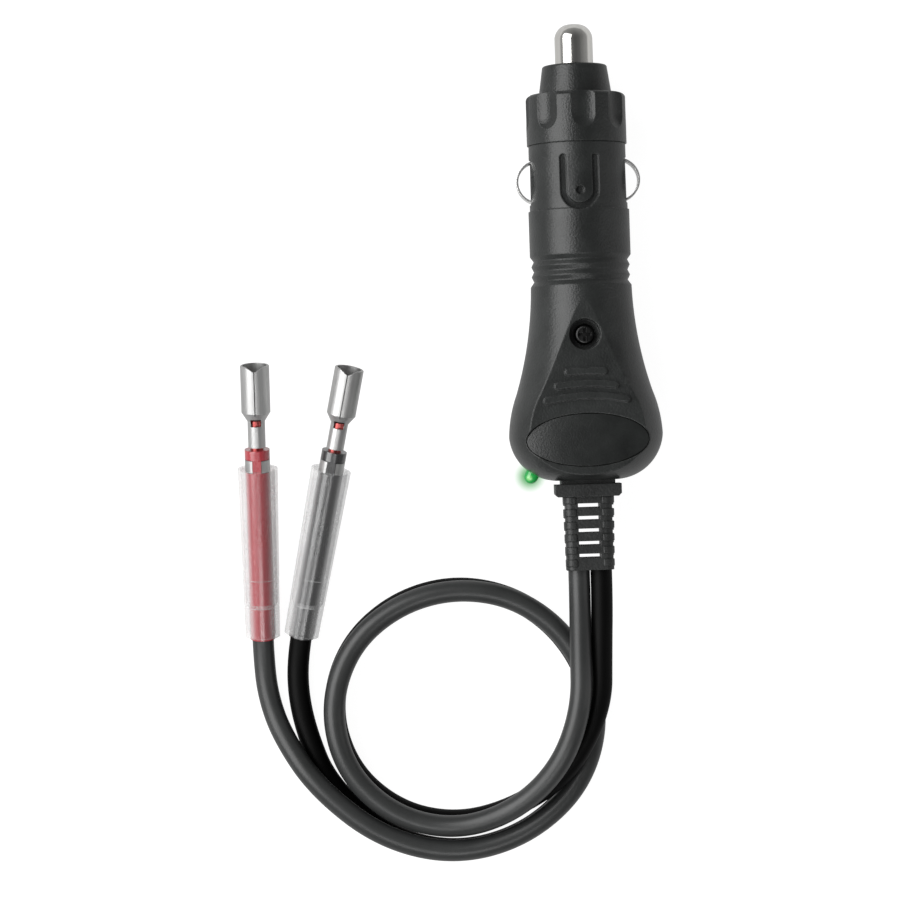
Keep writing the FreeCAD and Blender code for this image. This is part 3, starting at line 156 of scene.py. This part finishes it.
def moulded_grain_group():
    """The fine spark-eroded texture of moulded plastic, with slow changes of tone."""
    group, start, end = new_group(
        "moulded_grain",
        [("Vector", "NodeSocketVector", None), ("Grain Size", "NodeSocketFloat", 0.0003),
         ("Mottle Size", "NodeSocketFloat", 0.006)],
        [("Height", "NodeSocketFloat"), ("Tone", "NodeSocketFloat")])
    links = group.links
    fine_scale = math_node(group, "DIVIDE", 1.0, start.outputs["Grain Size"])
    slow_scale = math_node(group, "DIVIDE", 1.0, start.outputs["Mottle Size"])
    fine = add_node(group, "TexNoise", Detail=2.0, Roughness=0.55)
    pits = add_node(group, "TexVoronoi", feature="SMOOTH_F1", Smoothness=0.6)
    slow = add_node(group, "TexNoise", Detail=4.0, Roughness=0.6)
    for node, scale in ((fine, fine_scale), (pits, fine_scale), (slow, slow_scale)):
        links.new(start.outputs["Vector"], node.inputs["Vector"])
        links.new(scale, node.inputs["Scale"])
    mixed = math_node(group, "MULTIPLY_ADD", fine.outputs["Fac"], 0.6, pits.outputs["Distance"])
    links.new(mixed, end.inputs["Height"])
    speckle = math_node(group, "MULTIPLY_ADD", fine.outputs["Fac"], 0.35, slow.outputs["Fac"])
    tone = add_node(group, "MapRange", From_Min=0.45, From_Max=0.9)
    links.new(speckle, tone.inputs["Value"])
    links.new(tone.outputs["Result"], end.inputs["Tone"])
    return group


def edge_wear_group():
    """Where a piece's edges are rubbed, broken up by a noise, and the normal with soft edges."""
    group, start, end = new_group(
        "edge_wear",
        [("Vector", "NodeSocketVector", None), ("Edge Radius", "NodeSocketFloat", 0.0002),
         ("Patch Size", "NodeSocketFloat", 0.002)],
        [("Mask", "NodeSocketFloat"), ("Normal", "NodeSocketVector")])
    links = group.links
    soft = add_node(group, "Bevel", samples=6)
    links.new(start.outputs["Edge Radius"], soft.inputs["Radius"])
    flat = group.nodes.new("ShaderNodeNewGeometry")
    across = add_node(group, "VectorMath", operation="DOT_PRODUCT")
    links.new(soft.outputs["Normal"], across.inputs[0])
    links.new(flat.outputs["Normal"], across.inputs[1])
    edge = add_node(group, "MapRange", From_Min=0.995, From_Max=0.8)
    links.new(across.outputs["Value"], edge.inputs["Value"])
    patch_scale = math_node(group, "DIVIDE", 1.0, start.outputs["Patch Size"])
    patches = add_node(group, "TexNoise", Detail=3.0, Roughness=0.6)
    links.new(start.outputs["Vector"], patches.inputs["Vector"])
    links.new(patch_scale, patches.inputs["Scale"])
    broken = add_node(group, "MapRange", From_Min=0.4, From_Max=0.62)
    links.new(patches.outputs["Fac"], broken.inputs["Value"])
    mask = math_node(group, "MULTIPLY", edge.outputs["Result"], broken.outputs["Result"])
    links.new(mask, end.inputs["Mask"])
    links.new(soft.outputs["Normal"], end.inputs["Normal"])
    return group


def drawn_lines_group():
    """Fine lines along Y, as rolling, drawing or turning leaves them in metal and plastic."""
    group, start, end = new_group(
        "drawn_lines",
        [("Vector", "NodeSocketVector", None), ("Line Width", "NodeSocketFloat", 0.0001),
         ("Line Length", "NodeSocketFloat", 0.008)],
        [("Height", "NodeSocketFloat"), ("Tone", "NodeSocketFloat")])
    links = group.links
    across = math_node(group, "DIVIDE", 1.0, start.outputs["Line Width"])
    along = math_node(group, "DIVIDE", 1.0, start.outputs["Line Length"])
    stretch = group.nodes.new("ShaderNodeCombineXYZ")
    links.new(across, stretch.inputs["X"])
    links.new(along, stretch.inputs["Y"])
    links.new(across, stretch.inputs["Z"])
    scaled = add_node(group, "VectorMath", operation="MULTIPLY")
    links.new(start.outputs["Vector"], scaled.inputs[0])
    links.new(stretch.outputs["Vector"], scaled.inputs[1])
    fine = add_node(group, "TexNoise", Scale=1.0, Detail=3.0, Roughness=0.65)
    broad = add_node(group, "TexNoise", Scale=0.14, Detail=2.0)
    for node in (fine, broad):
        links.new(scaled.outputs["Vector"], node.inputs["Vector"])
    links.new(fine.outputs["Fac"], end.inputs["Height"])
    tone = math_node(group, "MULTIPLY_ADD", fine.outputs["Fac"], 0.5, broad.outputs["Fac"])
    ranged = add_node(group, "MapRange", From_Min=0.45, From_Max=1.05)
    links.new(tone, ranged.inputs["Value"])
    links.new(ranged.outputs["Result"], end.inputs["Tone"])
    return group


def handling_group():
    """Smudges and faint hairline scratches from handling."""
    group, start, end = new_group(
        "handling_marks",
        [("Vector", "NodeSocketVector", None), ("Smudge Size", "NodeSocketFloat", 0.008),
         ("Scratch Size", "NodeSocketFloat", 0.004)],
        [("Smudge", "NodeSocketFloat"), ("Scratch", "NodeSocketFloat")])
    links = group.links
    smudge_scale = math_node(group, "DIVIDE", 1.0, start.outputs["Smudge Size"])
    scratch_scale = math_node(group, "DIVIDE", 1.0, start.outputs["Scratch Size"])
    smudge = add_node(group, "TexNoise", Detail=5.0, Roughness=0.62, Distortion=0.4)
    links.new(start.outputs["Vector"], smudge.inputs["Vector"])
    links.new(smudge_scale, smudge.inputs["Scale"])
    links.new(smudge.outputs["Fac"], end.inputs["Smudge"])
    bend = add_node(group, "TexNoise", Detail=1.0)
    links.new(start.outputs["Vector"], bend.inputs["Vector"])
    links.new(smudge_scale, bend.inputs["Scale"])
    lines = add_node(group, "TexVoronoi", feature="DISTANCE_TO_EDGE")
    bent = add_node(group, "VectorMath", operation="MULTIPLY_ADD")
    bent.inputs[1].default_value = (0.002, 0.002, 0.002)
    links.new(bend.outputs["Color"], bent.inputs[0])
    links.new(start.outputs["Vector"], bent.inputs[2])
    links.new(bent.outputs["Vector"], lines.inputs["Vector"])
    links.new(scratch_scale, lines.inputs["Scale"])
    thin = add_node(group, "MapRange", From_Min=0.012, From_Max=0.0)
    links.new(lines.outputs["Distance"], thin.inputs["Value"])
    gate = add_node(group, "MapRange", From_Min=0.52, From_Max=0.6)
    links.new(smudge.outputs["Fac"], gate.inputs["Value"])
    scratch = math_node(group, "MULTIPLY", thin.outputs["Result"], gate.outputs["Result"])
    links.new(scratch, end.inputs["Scratch"])
    return group


GRAIN = moulded_grain_group()
WEAR = edge_wear_group()
LINES = drawn_lines_group()
HANDLING = handling_group()


def place_group(tree, group, vector, **values):
    """A group's node in a material, fed with the surface's coordinates and its own values."""
    node = tree.nodes.new("ShaderNodeGroup")
    node.node_tree = group
    tree.links.new(vector, node.inputs["Vector"])
    for key, value in values.items():
        node.inputs[key.replace("_", " ")].default_value = value
    return node


def new_material(name, base, metallic=0.0, **sockets):
    """A material with its shader, and the surface's own coordinates in metres."""
    material = bpy.data.materials.new(name)
    material.use_nodes = True
    tree = material.node_tree
    shader = tree.nodes["Principled BSDF"]
    shader.inputs["Base Color"].default_value = (*base, 1.0)
    shader.inputs["Metallic"].default_value = metallic
    for key, value in sockets.items():
        shader.inputs[key.replace("_", " ")].default_value = value
    place = tree.nodes.new("ShaderNodeTexCoord").outputs["Object"]
    return material, tree, shader, place


def colour_between(tree, factor, low, high):
    """A colour that runs from low to high with the factor."""
    mix = tree.nodes.new("ShaderNodeMix")
    mix.data_type = "RGBA"
    mix.inputs["A"].default_value = (*low, 1.0)
    mix.inputs["B"].default_value = (*high, 1.0)
    tree.links.new(factor, mix.inputs["Factor"])
    return mix.outputs["Result"]


def colour_over(tree, factor, under, high):
    """A colour socket that turns to high where the factor is 1."""
    mix = tree.nodes.new("ShaderNodeMix")
    mix.data_type = "RGBA"
    tree.links.new(under, mix.inputs["A"])
    mix.inputs["B"].default_value = (*high, 1.0)
    tree.links.new(factor, mix.inputs["Factor"])
    return mix.outputs["Result"]


def ranged(tree, value, low, high):
    """A 0 to 1 value spread over another range."""
    node = add_node(tree, "MapRange", To_Min=low, To_Max=high)
    tree.links.new(value, node.inputs["Value"])
    return node.outputs["Result"]


def bump(tree, shader, height, strength, depth, normal=None):
    """Relief on the surface, depth in metres."""
    node = add_node(tree, "Bump", Strength=strength, Distance=depth)
    tree.links.new(height, node.inputs["Height"])
    if normal is not None:
        tree.links.new(normal, node.inputs["Normal"])
    tree.links.new(node.outputs["Normal"], shader.inputs["Normal"])


def moulded_plastic(name, dark, light, rubbed, grain, roughness, depth, edge=0.0002):
    """Textured black plastic, rubbed paler and smoother along its edges, with painted lamp glow."""
    material, tree, shader, place = new_material(name, dark, Specular_IOR_Level=0.5)
    surface = place_group(tree, GRAIN, place, Grain_Size=grain)
    wear = place_group(tree, WEAR, place, Edge_Radius=edge)
    marks = place_group(tree, HANDLING, place)
    colour = colour_between(tree, surface.outputs["Tone"], dark, light)
    rubbing = math_node(tree, "MULTIPLY", wear.outputs["Mask"], 0.6)
    colour = colour_over(tree, rubbing, colour, rubbed)
    scratching = math_node(tree, "MULTIPLY", marks.outputs["Scratch"], 0.35)
    colour = colour_over(tree, scratching, colour, rubbed)
    tree.links.new(colour, shader.inputs["Base Color"])
    tree.links.new(ranged(tree, marks.outputs["Smudge"], roughness - 0.05, roughness + 0.05),
                   shader.inputs["Roughness"])
    # Painted light: the indicator lamp's green glow is painted onto the plastic as emission, strongest nearest the
    # lamp and fading out a few millimetres away.
    lit = add_node(tree, "VectorMath", operation="DISTANCE")
    lit.inputs[1].default_value = LAMP_PLACE
    tree.links.new(place, lit.inputs[0])
    green = add_node(tree, "MapRange", interpolation_type="SMOOTHERSTEP", From_Min=0.0048,
                     From_Max=0.0012, To_Max=0.6)
    tree.links.new(lit.outputs["Value"], green.inputs["Value"])
    shader.inputs["Emission Color"].default_value = (0.01, 0.28, 0.03, 1.0)
    tree.links.new(green.outputs["Result"], shader.inputs["Emission Strength"])
    bump(tree, shader, surface.outputs["Height"], 0.6, depth, wear.outputs["Normal"])
    return material


def drawn_metal(name, dark, light, roughness, line_width=0.00012, line_length=0.006, turn=None,
                depth=0.00001):
    """Plated or bare metal with fine lines along it."""
    material, tree, shader, place = new_material(name, light, metallic=1.0)
    if turn is not None:
        aligned = add_node(tree, "Mapping")
        aligned.inputs["Rotation"].default_value = turn
        tree.links.new(place, aligned.inputs["Vector"])
        place = aligned.outputs["Vector"]
    lines = place_group(tree, LINES, place, Line_Width=line_width, Line_Length=line_length)
    wear = place_group(tree, WEAR, place, Edge_Radius=0.0001)
    marks = place_group(tree, HANDLING, place, Smudge_Size=0.004)
    colour = colour_between(tree, lines.outputs["Tone"], dark, light)
    tree.links.new(colour_over(tree, wear.outputs["Mask"], colour, light),
                   shader.inputs["Base Color"])
    tree.links.new(ranged(tree, marks.outputs["Smudge"], roughness * 0.7, roughness * 1.4),
                   shader.inputs["Roughness"])
    bump(tree, shader, lines.outputs["Height"], 0.3, depth, wear.outputs["Normal"])
    return material


def jacket(name, dark, light, roughness, shine=0.5):
    """Extruded cable jacket: smooth, with faint waviness, bloom and dust."""
    material, tree, shader, place = new_material(name, dark, Specular_IOR_Level=shine)
    surface = place_group(tree, GRAIN, place, Grain_Size=0.00035, Mottle_Size=0.012)
    marks = place_group(tree, HANDLING, place, Smudge_Size=0.010, Scratch_Size=0.006)
    colour = colour_between(tree, surface.outputs["Tone"], dark, light)
    tree.links.new(colour, shader.inputs["Base Color"])
    tree.links.new(ranged(tree, marks.outputs["Smudge"], roughness - 0.07, roughness + 0.07),
                   shader.inputs["Roughness"])
    bump(tree, shader, surface.outputs["Height"], 0.25, 0.00001)
    return material


def coloured_tube(name, dark, light, roughness):
    """Thin coloured plastic tube with faint extrusion lines."""
    material, tree, shader, place = new_material(name, light, Specular_IOR_Level=0.9,
                                                 Coat_Weight=0.8, Coat_Roughness=0.2)
    lines = place_group(tree, LINES, place, Line_Width=0.0004, Line_Length=0.02)
    wear = place_group(tree, WEAR, place)
    tree.links.new(colour_between(tree, lines.outputs["Tone"], dark, light),
                   shader.inputs["Base Color"])
    tree.links.new(ranged(tree, lines.outputs["Tone"], roughness - 0.05, roughness + 0.08),
                   shader.inputs["Roughness"])
    bump(tree, shader, lines.outputs["Height"], 0.05, 0.00001, wear.outputs["Normal"])
    return material


def clear_sleeve_plastic():
    """Clear soft plastic, slightly milky, denser where the view runs along its wall."""
    material, tree, shader, place = new_material(
        "clear_sleeve_plastic", (0.6, 0.6, 0.6), Specular_IOR_Level=0.8)
    surface = place_group(tree, GRAIN, place, Grain_Size=0.0004, Mottle_Size=0.008)
    marks = place_group(tree, HANDLING, place, Smudge_Size=0.006)
    tree.links.new(colour_between(tree, surface.outputs["Tone"], (0.66, 0.66, 0.66),
                                  (0.80, 0.80, 0.80)), shader.inputs["Base Color"])
    tree.links.new(ranged(tree, marks.outputs["Smudge"], 0.12, 0.3), shader.inputs["Roughness"])
    grazing = add_node(tree, "LayerWeight", Blend=0.5)
    wall = add_node(tree, "MapRange", interpolation_type="SMOOTHSTEP", From_Min=0.10,
                    From_Max=0.34, To_Min=0.035, To_Max=0.34)
    tree.links.new(grazing.outputs["Facing"], wall.inputs["Value"])
    tree.links.new(wall.outputs["Result"], shader.inputs["Alpha"])
    bump(tree, shader, surface.outputs["Height"], 0.04, 0.00001)
    return material


def fuse_glass():
    """Thin clear glass."""
    material, tree, shader, place = new_material(
        "fuse_glass", (0.9, 0.95, 0.93), Specular_IOR_Level=0.5)
    marks = place_group(tree, HANDLING, place, Smudge_Size=0.005)
    tree.links.new(ranged(tree, marks.outputs["Smudge"], 0.02, 0.12), shader.inputs["Roughness"])
    grazing = add_node(tree, "LayerWeight", Blend=0.3)
    tree.links.new(ranged(tree, grazing.outputs["Facing"], 0.1, 0.7), shader.inputs["Alpha"])
    return material


def lit_lamp():
    """Green lamp, lit from the chip inside it: bright over the chip and deep green at its rim."""
    material, tree, shader, place = new_material(
        "lit_lamp", (0.01, 0.22, 0.05), Coat_Weight=0.4, Coat_Roughness=0.08,
        Emission_Strength=1.0)
    offset = add_node(tree, "VectorMath", operation="DISTANCE")
    offset.inputs[1].default_value = LAMP_CHIP
    tree.links.new(place, offset.inputs[0])
    ramp = tree.nodes.new("ShaderNodeValToRGB")
    ramp.color_ramp.elements[0].position = 0.1
    ramp.color_ramp.elements[0].color = (0.30, 0.55, 0.22, 1.0)
    ramp.color_ramp.elements[1].position = 0.85
    ramp.color_ramp.elements[1].color = (0.003, 0.07, 0.012, 1.0)
    middle = ramp.color_ramp.elements.new(0.35)
    middle.color = (0.008, 0.16, 0.022, 1.0)
    tree.links.new(math_node(tree, "DIVIDE", offset.outputs["Value"], LAMP_FADE),
                   ramp.inputs["Fac"])
    tree.links.new(ramp.outputs["Color"], shader.inputs["Emission Color"])
    cloudy = add_node(tree, "TexNoise", Scale=1200.0, Detail=2.0)
    tree.links.new(place, cloudy.inputs["Vector"])
    tree.links.new(ranged(tree, cloudy.outputs["Fac"], 0.12, 0.26), shader.inputs["Roughness"])
    return material


def dress(node, material):
    """Gives a CAD node its material."""
    item = NODES[node]
    item.data.materials.clear()
    item.data.materials.append(material)


def along_axis(joint):
    """The direction of a slide joint, and the turn that lays it on Y."""
    for entry in frame["joints"]:
        if entry["name"] == joint:
            direction = Vector(entry["axis"]).normalized()
    turn = direction.rotation_difference(Vector((0.0, 1.0, 0.0))).to_euler()
    return direction, turn


def dress_nodes():
    """A material for every CAD node that stays."""
    housing = moulded_plastic("housing_plastic", (0.009, 0.0102, 0.0098), (0.023, 0.0252, 0.0244),
                              (0.07, 0.073, 0.072), 0.00042, 0.37, 0.00005, edge=0.00045)
    cap = moulded_plastic("cap_plastic", (0.009, 0.0102, 0.0098), (0.022, 0.0241, 0.0233),
                          (0.07, 0.073, 0.072), 0.00040, 0.35, 0.00006, edge=0.0003)
    inlay = moulded_plastic("inlay_plastic", (0.009, 0.0100, 0.0097), (0.020, 0.0218, 0.0211),
                            (0.05, 0.052, 0.051), 0.00034, 0.30, 0.00003)
    relief = moulded_plastic("relief_rubber", (0.006, 0.0066, 0.0064), (0.022, 0.0236, 0.0232),
                             (0.06, 0.062, 0.061), 0.00045, 0.46, 0.00006, edge=0.0003)
    nickel = drawn_metal("nickel_plate", (0.66, 0.65, 0.62), (0.82, 0.81, 0.78), 0.14)
    strip = drawn_metal("spring_strip", (0.78, 0.78, 0.77), (0.90, 0.90, 0.89), 0.3)
    fuse_metal = drawn_metal("fuse_metal", (0.6, 0.59, 0.57), (0.76, 0.75, 0.72), 0.2)
    wire = drawn_metal("drawn_wire", (0.42, 0.42, 0.41), (0.6, 0.6, 0.59), 0.3)
    brass = drawn_metal("stamped_brass", (0.56, 0.38, 0.16), (0.78, 0.58, 0.28), 0.28)
    screw = drawn_metal("black_oxide_steel", (0.02, 0.02, 0.02), (0.07, 0.07, 0.07), 0.32)
    board = moulded_plastic("solder_mask", (0.02, 0.12, 0.05), (0.04, 0.2, 0.09),
                            (0.3, 0.32, 0.12), 0.0004, 0.35, 0.00001)
    body = moulded_plastic("resistor_lacquer", (0.5, 0.36, 0.22), (0.66, 0.5, 0.33),
                           (0.7, 0.6, 0.45), 0.0005, 0.3, 0.00001)
    copper = drawn_metal("copper_strand", (0.34, 0.06, 0.06), (0.60, 0.15, 0.14), 0.36,
                         line_width=0.0003, line_length=0.003, depth=0.00012)
    red = coloured_tube("red_tube_plastic", (0.34, 0.018, 0.03), (0.42, 0.026, 0.04), 0.24)
    black = coloured_tube("black_tube_plastic", (0.012, 0.012, 0.013), (0.022, 0.022, 0.023), 0.28)
    sleeve = clear_sleeve_plastic()
    positive_turn = along_axis("positive_sleeve_slide")[1]
    negative_turn = along_axis("negative_sleeve_slide")[1]
    finishes = {
        "front_shell": housing, "rear_shell": housing, "nose_cap": cap, "oval_inlay": inlay,
        "strain_relief": relief, "contact_tip": nickel, "left_contact": strip,
        "right_contact": strip, "fuse_glass": fuse_glass(), "fuse_front_cap": fuse_metal,
        "fuse_rear_cap": fuse_metal, "fuse_wire": wire, "contact_spring": wire,
        "spring_seat": brass, "housing_screw": screw, "indicator_lamp": lit_lamp(),
        "circuit_board": board, "resistor": body, "positive_core": copper,
        "negative_core": copper, "positive_strands": copper, "negative_strands": copper,
        "red_marker_tube": red, "black_marker_tube": black,
        "positive_sleeve": sleeve, "negative_sleeve": sleeve,
        "positive_terminal": drawn_metal("plated_sheet_positive", (0.44, 0.44, 0.437),
                                         (0.60, 0.60, 0.594), 0.42, turn=positive_turn),
        "negative_terminal": drawn_metal("plated_sheet_negative", (0.44, 0.44, 0.437),
                                         (0.60, 0.60, 0.594), 0.42, turn=negative_turn),
    }
    for node, material in finishes.items():
        dress(node, material)
    relief_rungs(relief)


def tube_route(mount_name):
    """Places along a marker tube, from its terminal's socket."""
    for mount in RECORD["mounts"]:
        if mount["name"] == mount_name:
            socket = Vector(mount["pos_m"])
            axis = Vector(mount["axis"]).normalized()
    return [tuple(socket + axis * (station - SOCKET_STATION)) for station in LEAD_END_STATIONS]


def lead_piece(name, route, node, material):
    """One lead: a smooth curve along its route, in place of the CAD model's tube."""
    curve = bpy.data.curves.new(name, "CURVE")
    curve.dimensions = "3D"
    line = curve.splines.new("NURBS")
    line.points.add(len(route) - 1)
    for point, place in zip(line.points, route):
        point.co = (*place, 1.0)
    line.order_u = 3
    line.use_endpoint_u = True
    line.resolution_u = 16
    curve.bevel_depth = LEAD_DIAMETER / 2
    curve.bevel_resolution = 8
    curve.use_fill_caps = True
    curve.materials.append(material)
    lead = bpy.data.objects.new(name, curve)
    bpy.context.scene.collection.objects.link(lead)
    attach(lead, "housing")
    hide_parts(node)


def make_leads():
    """The grey and the black lead, each running on into its marker tube."""
    grey = jacket("grey_jacket", (0.022, 0.0232, 0.023), (0.036, 0.0375, 0.0372), 0.38)
    black = jacket("black_jacket", (0.0012, 0.0012, 0.0012), (0.0022, 0.0022, 0.0022), 0.5,
                   shine=0.09)
    lead_piece("grey_lead", POSITIVE_ROUTE + tube_route("positive_socket"), "positive_lead", grey)
    lead_piece("black_lead", NEGATIVE_ROUTE + tube_route("negative_socket"), "negative_lead",
               black)


def relief_rungs(material):
    """The rungs that stand up beside the relief's windows and wrap over its long edges."""
    body_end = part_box("strain_relief")[0][1]
    body_start = body_end + RELIEF_BODY_LENGTH
    top = AXIS_HEIGHT + RELIEF_DEPTH / 2
    vertices = []
    faces = []
    for number in range(RUNG_COUNT):
        middle = body_start - RELIEF_FIRST_RUNG - RELIEF_PITCH * number
        share = (body_start - middle) / RELIEF_BODY_LENGTH
        edge = RELIEF_TOP_HALF + (RELIEF_END_HALF - RELIEF_TOP_HALF) * share + 0.0001
        for hand in (-1, 1):
            section = [(0.0026, top - 0.0004), (0.0026, top + 0.0002),
                       (0.0028, top + RUNG_HEIGHT)]
            for step in range(7):
                angle = math.radians(90.0 - 15.0 * step)
                section.append((edge - RELIEF_CORNER + RELIEF_CORNER * math.cos(angle),
                                top + RUNG_HEIGHT - RELIEF_CORNER
                                + RELIEF_CORNER * math.sin(angle)))
            section += [(edge, AXIS_HEIGHT), (edge - 0.0006, AXIS_HEIGHT),
                        (edge - 0.0006, top - 0.0016), (edge - 0.0018, top - 0.0004)]
            count = len(section)
            first = len(vertices)
            for along in (-RUNG_WIDTH / 2, RUNG_WIDTH / 2):
                vertices += [(hand * x, middle + along, z) for x, z in section]
            near = list(range(first, first + count))
            far = list(range(first + count, first + 2 * count))
            faces += [near, far[::-1]]
            for index in range(count):
                after = (index + 1) % count
                faces.append([near[after], near[index], far[index], far[after]])
    mesh = bpy.data.meshes.new("relief_rungs")
    mesh.from_pydata(vertices, [], faces)
    mesh.materials.append(material)
    built = bmesh.new()
    built.from_mesh(mesh)
    bmesh.ops.recalc_face_normals(built, faces=built.faces)
    built.to_mesh(mesh)
    built.free()
    rungs = bpy.data.objects.new("relief_rungs", mesh)
    bpy.context.scene.collection.objects.link(rungs)
    round_edges = rungs.modifiers.new("rounded", "BEVEL")
    round_edges.width = 0.00015
    round_edges.segments = 2
    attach(rungs, "housing")


def shorten_spring():
    """A mesh of its own for the coil spring, which gets shorter as the contact tip is pressed in."""
    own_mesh(NODES["contact_spring"])


def add_camera():
    """The photograph's camera: far overhead, with a long lens, turned a little."""
    data = bpy.data.cameras.new("camera")
    data.lens = FOCAL_LENGTH
    data.sensor_width = SENSOR_WIDTH
    data.clip_start = 0.01
    data.clip_end = 10.0
    camera = bpy.data.objects.new("camera", data)
    camera.location = (*CAMERA_PLACE, CAMERA_HEIGHT)
    camera.rotation_euler = (0.0, 0.0, math.radians(CAMERA_ROLL))
    bpy.context.scene.collection.objects.link(camera)
    bpy.context.scene.camera = camera


def add_soft_box(name, place, target, width, height, watts):
    """A square studio lamp that looks at a point."""
    data = bpy.data.lights.new(name, "AREA")
    data.shape = "RECTANGLE"
    data.size = width
    data.size_y = height
    data.energy = watts
    lamp = bpy.data.objects.new(name, data)
    lamp.location = place
    lamp.rotation_euler = (Vector(target) - Vector(place)).to_track_quat("-Z", "Y").to_euler()
    bpy.context.scene.collection.objects.link(lamp)


def add_light():
    """A wide key at the left, a weak card at the right, a strip in front for the tilted ends of
    the leads, and a room that is darker overhead."""
    middle = (-0.02, -0.02, 0.0)
    add_soft_box("key", (-0.60, 0.10, 0.62), middle, 1.0, 0.74, 9.6)
    add_soft_box("card", (0.62, -0.05, 0.30), middle, 0.25, 0.6, 0.3)
    add_soft_box("front", (-0.06, -0.37, 0.46), (-0.06, -0.06, 0.01), 0.34, 0.14, 0.6)
    world = bpy.data.worlds.new("room")
    world.use_nodes = True
    tree = world.node_tree
    around = tree.nodes.new("ShaderNodeTexCoord")
    height = tree.nodes.new("ShaderNodeSeparateXYZ")
    tree.links.new(around.outputs["Generated"], height.inputs["Vector"])
    falling = add_node(tree, "MapRange", To_Min=0.34, To_Max=0.09)
    tree.links.new(height.outputs["Z"], falling.inputs["Value"])
    tree.links.new(falling.outputs["Result"], tree.nodes["Background"].inputs["Strength"])
    tree.nodes["Background"].inputs["Color"].default_value = (1.0, 1.0, 1.0, 1.0)
    bpy.context.scene.world = world


def floor_material():
    """White paper that stays white to the eye and in reflections, keeps the shadows, and has the lamp's green glow
    painted on it beside the lamp."""
    material, tree, shader, place = new_material("white_paper", (0.88, 0.88, 0.88))
    shader.inputs["Roughness"].default_value = 0.9
    shader.inputs["Specular IOR Level"].default_value = 0.1
    fibres = add_node(tree, "TexNoise", Scale=900.0, Detail=3.0)
    tree.links.new(place, fibres.inputs["Vector"])
    # Painted light: a pool of the lamp's green glow is painted on the paper around the spot below the lamp, in its
    # base colour and in its emission.
    spot = add_node(tree, "VectorMath", operation="DISTANCE")
    spot.inputs[1].default_value = LAMP_SPOT
    tree.links.new(place, spot.inputs[0])
    painted_glow_mask = add_node(tree, "MapRange", interpolation_type="SMOOTHERSTEP", From_Min=0.0046,
                    From_Max=0.0)
    tree.links.new(spot.outputs["Value"], painted_glow_mask.inputs["Value"])
    paper = colour_between(tree, ranged(tree, fibres.outputs["Fac"], 0.0, 1.0),
                           (0.87, 0.87, 0.87), (0.89, 0.89, 0.89))
    paper_with_painted_glow = colour_over(tree, painted_glow_mask.outputs["Result"], paper, (0.12, 0.62, 0.18))
    tree.links.new(paper_with_painted_glow, shader.inputs["Base Color"])
    glow = tree.nodes.new("ShaderNodeEmission")
    white = colour_between(tree, painted_glow_mask.outputs["Result"], (1.0, 1.0, 1.0), (0.02, 0.30, 0.04))
    tree.links.new(white, glow.inputs["Color"])
    seen = tree.nodes.new("ShaderNodeLightPath")
    bright = math_node(tree, "MULTIPLY", seen.outputs["Is Camera Ray"], 0.62)
    tree.links.new(math_node(tree, "ADD", bright, 0.6), glow.inputs["Strength"])
    looks = math_node(tree, "ADD", seen.outputs["Is Camera Ray"], seen.outputs["Is Glossy Ray"])
    looks = math_node(tree, "ADD", looks, seen.outputs["Is Transmission Ray"], clamp=True)
    share = math_node(tree, "MULTIPLY", looks, 0.78)
    mix = tree.nodes.new("ShaderNodeMixShader")
    tree.links.new(share, mix.inputs["Fac"])
    tree.links.new(shader.outputs["BSDF"], mix.inputs[1])
    tree.links.new(glow.outputs["Emission"], mix.inputs[2])
    tree.links.new(mix.outputs["Shader"], tree.nodes["Material Output"].inputs["Surface"])
    return material


def add_floor():
    """The white surface that the part lies on."""
    half = FLOOR_HALF
    mesh = bpy.data.meshes.new("floor")
    mesh.from_pydata([(-half, -half, 0), (half, -half, 0), (half, half, 0), (-half, half, 0)],
                     [], [(0, 1, 2, 3)])
    mesh.materials.append(floor_material())
    floor = bpy.data.objects.new("floor", mesh)
    bpy.context.scene.collection.objects.link(floor)


def main():
    """Builds the scene."""
    bpy.context.scene.view_settings.view_transform = "Standard"
    add_camera()
    make_leads()
    dress_nodes()
    shorten_spring()
    add_light()
    add_floor()


main()
